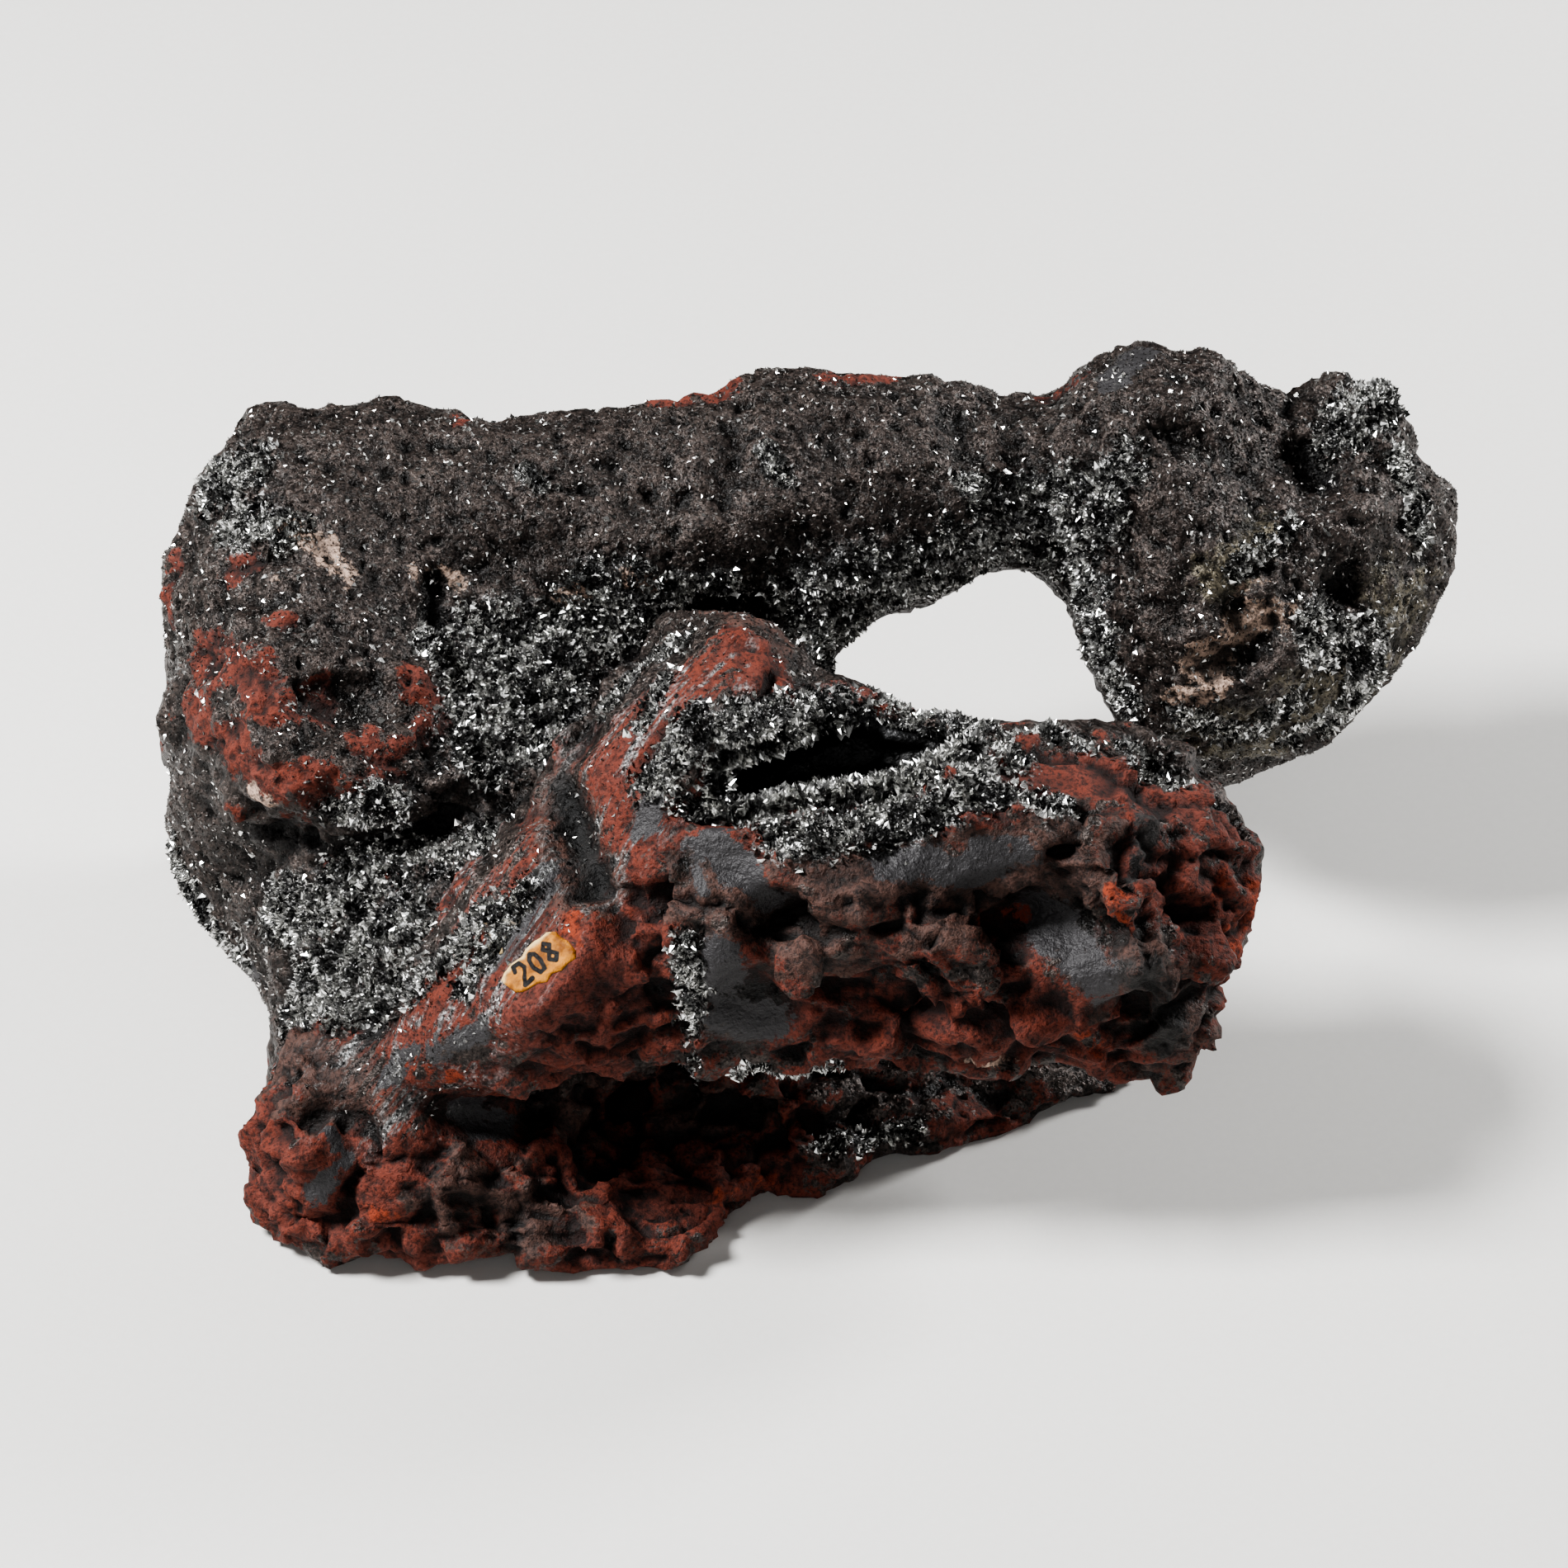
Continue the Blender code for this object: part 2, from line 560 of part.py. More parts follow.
def crystal_crust(rim):
    """A lining of the vug's wall: a thin shell whose inner side stands up in pointed crystals."""
    made, mouth = vug_bowl(rim, CRUST_START)
    bmesh.ops.recalc_face_normals(made, faces=made.faces)
    made.normal_update()
    if sum(face.normal.dot(NEAR) for face in made.faces) < 0:
        bmesh.ops.reverse_faces(made, faces=made.faces)
    made.normal_update()
    walls = {vertex: vertex.normal.copy() for vertex in made.verts}
    copied = bmesh.ops.duplicate(made, geom=list(made.verts) + list(made.edges) + list(made.faces))
    twin = copied["vert_map"]
    for vertex, inwards in walls.items():
        inner = twin[vertex]
        base = vertex.co.copy()
        vertex.co = base + inwards * CRUST_GAP
        inner.co = base + inwards * (CRUST_GAP + CRUST_THICKNESS)
    inner_faces = [face for face in copied["geom"] if isinstance(face, bmesh.types.BMFace)]
    outer_faces = [face for face in made.faces if face not in set(inner_faces)]
    bmesh.ops.reverse_faces(made, faces=outer_faces)
    for i in range(VUG_SIDES):
        j = (i + 1) % VUG_SIDES
        made.faces.new([mouth[i], mouth[j], twin[mouth[j]], twin[mouth[i]]])
    points = bmesh.ops.poke(made, faces=inner_faces, offset=0)
    for count, tip in enumerate(points["verts"]):
        tall = 0.55 + 0.45 * noise.noise(Vector((count * CRYSTAL_STEP, 0, 0)))
        tip.co += tip.normal * CRYSTAL_HEIGHT * tall
    bmesh.ops.recalc_face_normals(made, faces=made.faces)
    return mesh_object("vug_crystal_crust", made)


# Crystal druse on the open surfaces: zones whose faces each rise to a point

DRUSE_ZONES = [
    (7, [(560, 760), (650, 800), (640, 880), (720, 840), (860, 735)]),
    (7, [(350, 1110), (470, 1070), (560, 1050)]),
    (6, [(350, 1200), (450, 1150), (560, 1130)]),
    (5, [(1020, 715), (1160, 665), (1290, 665)]),
    (5, [(1330, 740), (1350, 840)]),
    (4, [(260, 580), (330, 640)]),
    (4, [(1150, 885), (1340, 905), (1410, 925)]),
    (3, [(840, 1290), (1000, 1295)]),
    (3, [(810, 950), (850, 885), (960, 865), (1110, 860), (1200, 890), (1190, 960)]),
    (3, [(1190, 960), (1090, 1000), (900, 1020)]),
]
DRUSE_HEIGHT = 0.9 * MM
DRUSE_FACE = 2 * MM * MM


def raise_druse(rock):
    """Raises the middle of each large enough face of the druse zones to a point."""
    made = bmesh.new()
    made.from_mesh(rock.data)
    bmesh.ops.triangulate(made, faces=made.faces)
    made.faces.ensure_lookup_table()
    centres = np.array([tuple(face.calc_center_median()) for face in made.faces])
    chosen = np.zeros(len(centres), bool)
    for width, path in DRUSE_ZONES:
        chosen |= distance_to_path(centres, on_surface(rock, path)) < width * MM
    faces = [made.faces[i] for i in np.flatnonzero(chosen) if made.faces[i].calc_area() > DRUSE_FACE]
    points = bmesh.ops.poke(made, faces=faces, offset=0)
    for tip in points["verts"]:
        tip.co += tip.normal * DRUSE_HEIGHT
    made.to_mesh(rock.data)
    made.free()


# The dab of paint that carried the collection number

PATCH_OUTLINE = [
    (607, 1187), (613, 1176), (625, 1164), (637, 1152), (649, 1142), (664, 1130), (676, 1128), (688, 1137),
    (698, 1152), (692, 1164), (678, 1172), (666, 1182), (657, 1193), (641, 1200), (625, 1205), (611, 1197),
]
PATCH_SEAT = 6.5 * MM
PATCH_FADE = 10.5 * MM
PATCH_THICKNESS = 0.5 * MM


def patch_seat(rock):
    """The middle of the patch on the rock, and the way that the rock faces there."""
    points = on_surface(rock, PATCH_OUTLINE)
    middle = points.mean(axis=0)
    looks = np.linalg.svd(points - middle)[2][2]
    return middle, looks if looks @ np.array(NEAR) > 0 else -looks


def flatten_seat(rock, middle, looks):
    """Levels the rock under the patch and fades back to its own shape around it."""
    points = vertex_places(rock)
    away = np.linalg.norm(points - middle, axis=1)
    share = np.clip((PATCH_FADE - away) / (PATCH_FADE - PATCH_SEAT), 0, 1)
    set_vertex_places(rock, points - np.outer(((points - middle) @ looks) * share, looks))


def number_patch(rock, middle, looks):
    """A thin irregular plate that lies on its seat, just clear of it."""
    points = vertex_places(rock)
    under = points[np.linalg.norm(points - middle, axis=1) < PATCH_SEAT]
    rise = ((under - middle) @ looks).max() + FIT_GAP
    looks = Vector(looks)
    made = bmesh.new()
    ring = []
    for across, down in PATCH_OUTLINE:
        towards = place(across, down, 0) - EYE
        reach = (Vector(middle) - EYE).dot(looks) / towards.dot(looks)
        ring.append(EYE + towards * reach + looks * rise)
    lower = [made.verts.new(point) for point in ring]
    upper = [made.verts.new(point + looks * PATCH_THICKNESS) for point in ring]
    made.faces.new(lower)
    made.faces.new(upper)
    for i in range(len(ring)):
        j = (i + 1) % len(ring)
        made.faces.new([lower[i], lower[j], upper[j], upper[i]])
    bmesh.ops.recalc_face_normals(made, faces=made.faces)
    return mesh_object("number_patch", made)


def finish(thing, name, colour, roughness, metallic):
    """Gives the piece its one material."""
    thing.data.materials.clear()
    thing.data.materials.append(material(name, colour, roughness, metallic))


clear_scene()
rock = joined_masses()
melt(rock, BLEND_VOXEL)
soften(rock, factor=0.5, turns=3)
trim_fractures(rock)
weather(rock)
work_strokes(rock)
level_foot(rock)
melt(rock, BLEND_VOXEL)
level_foot(rock)
seat, seat_looks = patch_seat(rock)
flatten_seat(rock, seat, seat_looks)
thin_out(rock, ROCK_TRIANGLES)
level_foot(rock)
mouth_rim = vug_rim(rock)
raise_druse(rock)
cut(rock, vug_cutter(mouth_rim))
crust = crystal_crust(mouth_rim)
patch = number_patch(rock, seat, seat_looks)
finish(rock, "iron_ore", (0.16, 0.09, 0.075), 0.6, 0.25)
finish(crust, "specular_crystal", (0.42, 0.43, 0.44), 0.25, 0.9)
finish(patch, "old_paint", (0.72, 0.45, 0.16), 0.55, 0.0)
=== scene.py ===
"""Specular hematite hand specimen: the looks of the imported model."""

from math import cos, pi, radians, sin

import bmesh
import bpy
import numpy as np
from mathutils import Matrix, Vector, noise
from mathutils.bvhtree import BVHTree
from mathutils.geometry import delaunay_2d_cdt


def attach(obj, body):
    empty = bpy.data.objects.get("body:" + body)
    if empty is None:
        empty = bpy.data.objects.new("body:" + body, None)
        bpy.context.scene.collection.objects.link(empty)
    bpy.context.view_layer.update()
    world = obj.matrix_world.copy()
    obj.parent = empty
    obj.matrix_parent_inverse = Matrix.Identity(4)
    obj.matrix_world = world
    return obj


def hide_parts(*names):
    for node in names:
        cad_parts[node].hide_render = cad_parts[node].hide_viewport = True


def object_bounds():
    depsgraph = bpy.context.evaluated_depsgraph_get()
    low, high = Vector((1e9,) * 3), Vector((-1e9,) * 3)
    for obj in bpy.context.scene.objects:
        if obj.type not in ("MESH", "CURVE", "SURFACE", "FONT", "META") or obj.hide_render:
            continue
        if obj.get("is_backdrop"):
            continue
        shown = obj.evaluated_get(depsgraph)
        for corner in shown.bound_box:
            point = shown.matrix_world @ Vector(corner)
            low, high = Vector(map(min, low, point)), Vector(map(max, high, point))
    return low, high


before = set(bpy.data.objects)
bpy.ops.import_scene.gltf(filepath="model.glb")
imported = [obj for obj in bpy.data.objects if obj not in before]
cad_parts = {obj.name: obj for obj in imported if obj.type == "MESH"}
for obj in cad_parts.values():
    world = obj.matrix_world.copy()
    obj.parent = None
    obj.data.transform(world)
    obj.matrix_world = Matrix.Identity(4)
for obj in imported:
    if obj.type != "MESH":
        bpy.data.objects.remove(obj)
cad_low, cad_high = (np.array(corner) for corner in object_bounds())

# How the specimen is shown: it lies on a pale sheet under three soft lights, the main one at its upper left, one
# at its right and a weak one in front, and is seen from in front and 40 degrees above. A place on the stone is
# given by where it is seen, as (across, down) in a square view of 1900 units that are a tenth of a millimetre each.
MM = 0.001
VIEW_SIZE = 1900
VIEW_UNIT = 0.1 * MM
VIEW_DISTANCE = 800 * MM
VIEW_ELEVATION = radians(40)
AIM_POINT = Vector((-3.8, -10.6, 42.4)) * MM
RIGHT = Vector((1, 0, 0))
UP = Vector((0, sin(VIEW_ELEVATION), cos(VIEW_ELEVATION)))
NEAR = Vector((0, -cos(VIEW_ELEVATION), sin(VIEW_ELEVATION)))
EYE = AIM_POINT + NEAR * VIEW_DISTANCE
SENSOR = 36
SHEET_SIZE = 12.0
SHEET_DROP = 0.05 * MM


def add(tree, kind, values=None, **settings):
    """Adds a node: values fill or link its sockets by name or number, and settings set its own properties."""
    made = tree.nodes.new(kind)
    for name, value in settings.items():
        setattr(made, name, value)
    for name, value in (values or {}).items():
        if isinstance(value, bpy.types.NodeSocket):
            tree.links.new(value, made.inputs[name])
        else:
            made.inputs[name].default_value = value
    return made


def new_material(name):
    """An empty Principled material, with its tree and its shader."""
    made = bpy.data.materials.new(name)
    made.use_nodes = True
    return made, made.node_tree, made.node_tree.nodes["Principled BSDF"]


def put_in_scene(name, data):
    made = bpy.data.objects.new(name, data)
    bpy.context.scene.collection.objects.link(made)
    return made


def soft_light(name, place, width, power):
    """A square soft white light that looks at the specimen."""
    lamp = bpy.data.lights.new(name, "AREA")
    lamp.size, lamp.energy = width, power
    held = put_in_scene(name, lamp)
    held.location = place
    held.rotation_euler = (AIM_POINT - Vector(place)).to_track_quat("-Z", "Y").to_euler()


def pale_sheet():
    made = bmesh.new()
    bmesh.ops.create_grid(made, x_segments=1, y_segments=1, size=SHEET_SIZE / 2)
    bmesh.ops.translate(made, verts=made.verts, vec=(0, 0, -SHEET_DROP))
    mesh = bpy.data.meshes.new("pale_sheet")
    made.to_mesh(mesh)
    made.free()
    paper, tree, shader = new_material("pale_sheet")
    place = add(tree, "ShaderNodeTexCoord").outputs["Object"]
    mottle = add(tree, "ShaderNodeTexNoise", {"Vector": place, "Scale": 900.0, "Detail": 3.0}).outputs["Fac"]
    tone = add(tree, "ShaderNodeMix", {0: mottle, 6: (0.60, 0.59, 0.57, 1), 7: (0.64, 0.63, 0.61, 1)},
               data_type="RGBA")
    tree.links.new(tone.outputs[2], shader.inputs["Base Color"])
    shader.inputs["Roughness"].default_value = 0.8
    mesh.materials.append(paper)
    put_in_scene("pale_sheet", mesh)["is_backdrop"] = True


camera = put_in_scene("camera", bpy.data.cameras.new("camera"))
camera.data.sensor_width = SENSOR
camera.data.lens = SENSOR * VIEW_DISTANCE / (VIEW_SIZE * VIEW_UNIT)
camera.location = EYE
camera.rotation_euler = (-NEAR).to_track_quat("-Z", "Y").to_euler()
bpy.context.scene.camera = camera

pale_sheet()
soft_light("key_light", (-0.50, -0.06, 0.62), 0.20, 17)
soft_light("right_light", (0.60, 0.30, 0.36), 0.18, 8)
soft_light("front_fill", (-0.05, -0.85, 0.60), 0.45, 1.6)
world = bpy.data.worlds.new("studio")
world.use_nodes = True
world.node_tree.nodes["Background"].inputs["Color"].default_value = (1.0, 0.99, 0.97, 1)
world.node_tree.nodes["Background"].inputs["Strength"].default_value = 0.10
bpy.context.scene.world = world
bpy.context.scene.view_settings.look = "AgX - Medium High Contrast"

# The stone: one broken lump of iron ore. Its back and upper bridge are a dark, fine crystal grain full of pits,
# its front is torn earthy red ore in thin beds, and smooth blue-grey faces and bright druse show in between.
# It is one natural piece, so it is one mesh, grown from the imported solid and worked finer.
FINE_VOXEL = 0.62 * MM
STONE_TRIANGLES = 194_000
FACET_SOFTENING = 3
HIDDEN_THINNING = 2e-6

DRUSE = {
    "valley_druse": [
        (3.2, [(250, 590), (300, 572)]), (3.0, [(285, 632), (345, 640)]), (1.2, [(640, 572), (655, 590)]),
        (6.0, [(590, 800), (660, 800), (645, 860), (600, 895)]), (4.5, [(700, 770), (760, 725)]),
        (2.6, [(770, 735), (870, 715)]), (3.0, [(530, 790), (560, 860)]), (1.6, [(690, 720), (720, 690)]),
        (1.4, [(740, 862), (790, 800), (822, 778)]), (1.2, [(775, 875), (805, 825)]),
        (3.6, [(340, 1110), (400, 1090), (450, 1050)]), (2.8, [(470, 1040), (545, 1030), (590, 1012)]),
        (3.8, [(380, 1190), (440, 1150), (500, 1120)]), (2.8, [(350, 1232), (420, 1220), (480, 1205)]),
        (1.8, [(500, 1200), (545, 1160), (600, 1100)]), (1.2, [(560, 1200), (610, 1120), (640, 1075)]),
        (2.4, [(408, 990), (475, 970)]), (1.8, [(212, 1030), (240, 1095), (290, 1160)]),
    ],
    "gap_druse": [
        (1.2, [(930, 545), (950, 580)]), (4.6, [(980, 715), (1060, 705), (1120, 690)]),
        (4.4, [(1120, 690), (1170, 655), (1230, 632), (1300, 645)]), (4.2, [(1312, 700), (1325, 760), (1350, 830)]),
        (3.4, [(1035, 758), (1105, 706), (1190, 680), (1262, 674)]), (2.4, [(1180, 600), (1290, 590), (1340, 600)]),
        (2.8, [(1330, 640), (1365, 560)]), (2.6, [(955, 722), (1000, 780), (1040, 812)]),
        (2.0, [(1060, 830), (1100, 850)]), (3.2, [(1625, 525), (1680, 475)]), (2.0, [(1690, 560), (1720, 640)]),
        (3.6, [(1600, 770), (1660, 790), (1640, 850), (1585, 880)]), (1.4, [(1500, 690), (1560, 640)]),
        (2.0, [(1440, 870), (1500, 890), (1570, 850)]),
    ],
    "arm_druse": [
        (2.8, [(800, 945), (835, 895), (900, 875), (960, 865), (1040, 872), (1110, 875), (1185, 905)]),
        (2.8, [(1185, 905), (1175, 960), (1100, 990), (1040, 1008), (960, 1012), (880, 995), (800, 945)]),
        (1.8, [(1195, 880), (1250, 882), (1310, 900)]), (2.4, [(1372, 915), (1420, 932)]),
        (1.8, [(1190, 905), (1235, 925)]), (1.8, [(1195, 960), (1240, 974), (1280, 978)]),
        (1.6, [(832, 1140), (838, 1200), (842, 1280)]), (1.6, [(840, 1292), (900, 1284), (1000, 1290)]),
        (1.4, [(1000, 1392), (1110, 1368), (1290, 1342)]),
    ],
}
DARK = [
    (24, [(330, 560), (600, 590), (900, 600), (1150, 560), (1400, 520), (1600, 600), (1640, 760)]),
    (15, [(1380, 700), (1480, 860)]), (8, [(230, 1000), (300, 1150)]), (8, [(430, 880), (420, 780)]),
    (6, [(400, 1120), (560, 1080)]),
]
RED = [
    (2.8, [(250, 790), (300, 820), (335, 850)]), (3.2, [(225, 862), (285, 905)]), (1.5, [(275, 692), (305, 682)]),
    (1.2, [(330, 752), (352, 756)]), (1.8, [(385, 832), (388, 868)]), (2.2, [(495, 822), (535, 842)]),
    (1.8, [(440, 892), (468, 930)]), (2.8, [(305, 935), (385, 950)]), (2.0, [(400, 972), (470, 948)]),
    (1.6, [(480, 905), (540, 872)]), (1.4, [(612, 826), (630, 822)]), (1.5, [(208, 680), (205, 760)]),
    (1.4, [(555, 508), (600, 506)]), (1.2, [(400, 484), (436, 473)]), (1.6, [(800, 482), (880, 472)]),
    (1.3, [(1000, 456), (1080, 456)]), (1.4, [(1272, 478), (1310, 453)]),
    (5.5, [(490, 1280), (540, 1210), (590, 1150), (640, 1080)]), (2.4, [(520, 1120), (560, 1060)]),
    (4.6, [(716, 1005), (755, 935), (800, 862)]), (4.0, [(850, 822), (900, 782), (945, 830)]),
    (3.0, [(960, 852), (1060, 862), (1130, 868)]), (1.6, [(402, 1048), (425, 1072)]), (1.4, [(452, 1058), (480, 1064)]),
    (9.0, [(640, 1230), (720, 1160), (760, 1080)]), (8.0, [(760, 1230), (700, 1290)]),
    (5.0, [(910, 1165), (960, 1180)]), (8.5, [(1040, 1220), (1200, 1240), (1330, 1220)]),
    (6.0, [(1100, 1130), (1190, 1120)]), (7.0, [(1370, 1050), (1480, 1080), (1515, 1110)]),
    (4.6, [(1190, 935), (1330, 945)]), (4.0, [(1390, 960), (1450, 990)]), (4.0, [(1050, 1040), (900, 1060)]),
    (14, [(330, 1400), (500, 1420), (700, 1450), (900, 1415)]), (6, [(310, 1360), (330, 1480)]),
    (5, [(1440, 1260), (1330, 1290)]),
]
BROWN = [
    (7, [(1000, 1045), (1150, 1080), (1280, 1060)]), (5, [(840, 1060), (1000, 1150)]),
    (5, [(1380, 1180), (1430, 1260)]), (5, [(360, 1280), (420, 1330)]), (5, [(560, 1440), (650, 1470)]),
    (4, [(660, 1340), (900, 1350)]), (5, [(700, 990), (705, 1070)]), (4, [(930, 760), (900, 740)]),
]
SLICK = [
    (1.7, [(598, 1160), (635, 1105), (664, 1062)]), (1.5, [(515, 1282), (585, 1250)]),
    (1.4, [(468, 1305), (505, 1270)]),
    (2.2, [(780, 1000), (815, 920), (850, 868)]), (2.2, [(862, 1022), (895, 1050), (935, 1085)]),
    (2.0, [(1070, 1050), (1120, 1042), (1185, 1062)]), (3.0, [(875, 1165), (880, 1225), (925, 1235)]),
    (3.2, [(1262, 1100), (1295, 1145), (1325, 1190)]), (1.3, [(402, 1375), (414, 1405), (382, 1448)]),
    (2.2, [(560, 1338), (605, 1372)]), (2.2, [(300, 1180), (325, 1240)]), (1.8, [(1180, 1040), (1240, 1035)]),
    (1.0, [(830, 1020), (850, 1080)]), (2.4, [(1350, 457), (1385, 432)]),
]
PALE = [
    (1.4, [(352, 640), (390, 660)]), (1.4, [(395, 680), (422, 700)]), (0.8, [(336, 700), (350, 706)]),
    (1.0, [(306, 960), (334, 972)]), (2.8, [(1452, 812), (1485, 775), (1535, 738)]), (2.0, [(1430, 840), (1455, 845)]),
    (1.0, [(500, 690), (560, 705)]), (0.9, [(760, 700), (800, 712)]), (0.9, [(680, 722), (705, 716)]),
    (0.7, [(1180, 1290), (1230, 1285)]), (0.5, [(1395, 968), (1420, 985)]),
]
EMBER = [
    (1.2, [(1355, 1070), (1362, 1125)]), (2.0, [(1478, 1068), (1520, 1098), (1500, 1140)]), (0.8, [(1385, 1028)]),
    (1.2, [(1315, 1255), (1345, 1282)]), (1.0, [(1185, 1120), (1235, 1108)]), (0.8, [(500, 1296), (550, 1304)]),
    (0.7, [(440, 1465), (480, 1480)]), (0.8, [(690, 1110), (700, 1150)]), (0.8, [(860, 1455), (930, 1425)]),
]
# Painted shade: near-black colour laid along crevices, cracks, a groove and pits, over dark crystalline ore.
CREVICE_SHADE = [
    (1.8, [(350, 1195), (362, 1232)]), (1.5, [(310, 1012), (400, 1024), (560, 1006), (690, 952)]),
    (2.2, [(690, 972), (704, 1025), (722, 1070)]), (2.6, [(1385, 1185), (1420, 1265)]),
    (1.8, [(1395, 1000), (1380, 1060)]), (1.6, [(455, 1200), (456, 1250)]),
    (1.6, [(520, 715), (560, 830), (575, 870)]), (2.0, [(1590, 560), (1602, 595)]),
]
SMOOTH = [
    (6, [(490, 1290), (560, 1190), (650, 1060)]), (5, [(716, 1005), (755, 935), (830, 850)]),
    (3, [(885, 1165), (900, 1240)]), (3, [(1262, 1100), (1325, 1190)]), (1.5, [(900, 1040), (1180, 1050)]),
    (2, [(1200, 940), (1330, 950)]), (1, [(402, 1375), (414, 1405), (382, 1448)]),
    (4.5, [(618, 1190), (652, 1165), (690, 1146)]),
]
OLIVE = [
    (6.5, [(1580, 850), (1650, 830), (1700, 740)]), (4.5, [(1470, 880), (1540, 900)]),
    (3, [(1480, 700), (1530, 650)]),
]
ROUGH = [(13, [(1380, 560), (1600, 560), (1660, 720), (1450, 800)]), (9, [(260, 720), (440, 860)])]
TORN = [
    (13, [(660, 1180), (800, 1200), (1000, 1220), (1200, 1210), (1400, 1150)]), (9, [(1480, 1080), (1430, 1260)]),
    (13, [(330, 1420), (550, 1440), (760, 1460), (900, 1420)]),
]
POLISH = [
    (7, [(470, 1290), (560, 1180), (660, 1050)]), (6, [(716, 1005), (760, 930), (830, 830)]),
    (6, [(440, 1150), (570, 1040)]), (4, [(740, 860), (800, 790)]),
]
BEDS = Vector((0.34, 1.0, 1.0))
BED_OFFSET = Vector((9, 2, 4))
BED_STEPS, RISER_START, RISER_WIDTH = 3.0, 0.35, 0.3
LUMP_SIZE, LUMP_HEIGHT, ROUGH_LUMP_HEIGHT = 4.0, 0.5, 0.6
GRAIN_SIZE, GRAIN_HEIGHT, PIT_START, PIT_DEPTH = 1.5, 0.35, 0.08, 2.1
BED_SIZE, BED_HEIGHT = 5.0, 2.0
CHIP_SIZE, CHIP_HEIGHT, CHIP_SCATTER = 6.5, 6.0, 7.3
SPLINTER_SIZE, SPLINTER_HEIGHT = 2.4, 1.6
RIDGE_SIZE, RIDGE_HEIGHT = 3.4, 0.4
DRUSE_GRAIN_HEIGHT, DRUSE_LUMP_HEIGHT = 0.7, 0.4
SMOOTH_SHARE = 0.78
EVEN_FOOT = 1.5 * MM
KEEP_LEVELS = 10
RAMP_RUN = Vector((0.565, 0.53, 0.63))
RAMP_STRETCH = 0.88
HOLLOW_TURNS = 8
HOLLOW_DEPTH = 1.1 * MM
RUST_SIZE, RUST_SHARE, RUST_WANDER = 21 * MM, 0.47, 0.4
POLISH_GRAIN = 0.42


def path_distance(points, path):
    """How far each point is from the line through path."""
    nearest = np.linalg.norm(points - path[0], axis=1)
    for start, end in zip(path[:-1], path[1:]):
        along = end - start
        share = np.clip((points - start) @ along / max(along @ along, 1e-12), 0, 1)
        nearest = np.minimum(nearest, np.linalg.norm(points - start - share[:, None] * along, axis=1))
    return nearest


def seen_on(tree, spots):
    """Where each (across, down) of the view meets the surface in tree."""
    met = []
    for across, down in spots:
        towards = RIGHT * (across - VIEW_SIZE / 2) + UP * (VIEW_SIZE / 2 - down)
        towards = towards * VIEW_UNIT - NEAR * VIEW_DISTANCE
        hit = tree.ray_cast(EYE, towards.normalized())[0]
        if hit is not None:
            met.append(tuple(hit))
    return np.array(met)


def zone_share(points, tree, zone):
    """1 on the zone's lines, a half at their half width in millimetres, and 0 from twice that."""
    share = np.zeros(len(points))
    for half_width, spots in zone:
        line = seen_on(tree, spots)
        if len(line):
            share = np.maximum(share, 1 - path_distance(points, line) / (2 * half_width * MM))
    return share


def vertex_values(mesh, values, width, field):
    read = np.empty(len(mesh.vertices) * width)
    values.foreach_get(field, read)
    return read.reshape(-1, width)


def vertex_places(mesh):
    return vertex_values(mesh, mesh.vertices, 3, "co")


def vertex_normals(mesh):
    return vertex_values(mesh, mesh.vertex_normals, 3, "vector")


def settled(thing):
    """The mesh that the object's modifiers make. The modifiers are removed."""
    made = bpy.data.meshes.new_from_object(thing.evaluated_get(bpy.context.evaluated_depsgraph_get()))
    thing.modifiers.clear()
    thing.data = made
    return made


def merged_copy(node, name):
    """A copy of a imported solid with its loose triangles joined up."""
    made = bmesh.new()
    made.from_mesh(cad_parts[node].data)
    bmesh.ops.remove_doubles(made, verts=made.verts, dist=0.001 * MM)
    bmesh.ops.recalc_face_normals(made, faces=made.faces)
    mesh = bpy.data.meshes.new(name)
    made.to_mesh(mesh)
    made.free()
    return put_in_scene(name, mesh)


def voxel_mesh(thing, voxel, softening):
    """Rebuilds the object's mesh from even small faces, and takes the facets' edges off."""
    remesh = thing.modifiers.new("even", "REMESH")
    remesh.mode, remesh.voxel_size = "VOXEL", voxel
    smooth = thing.modifiers.new("soften", "SMOOTH")
    smooth.factor, smooth.iterations = 0.5, softening
    return settled(thing)


def keep_in_box(mesh):
    """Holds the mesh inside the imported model's box."""
    places = np.clip(vertex_places(mesh), cad_low, cad_high)
    mesh.vertices.foreach_set("co", places.ravel())
    mesh.update()


def stepped(height, steps):
    """The height in steps with steep risers, as thin beds break."""
    level = np.floor(height * steps)
    rise = height * steps - level
    rise = np.clip((rise - RISER_START) / RISER_WIDTH, 0, 1)
    return (level + rise * rise * (3 - 2 * rise)) / steps


def chip_height(spot, size):
    """The height of small flat faces that each slant their own way, as brittle ore breaks."""
    nearest = noise.voronoi(spot / size)[1][0]
    slant = noise.cell_vector(nearest * CHIP_SCATTER) - Vector((0.5, 0.5, 0.5))
    return slant.dot(spot / size - nearest)


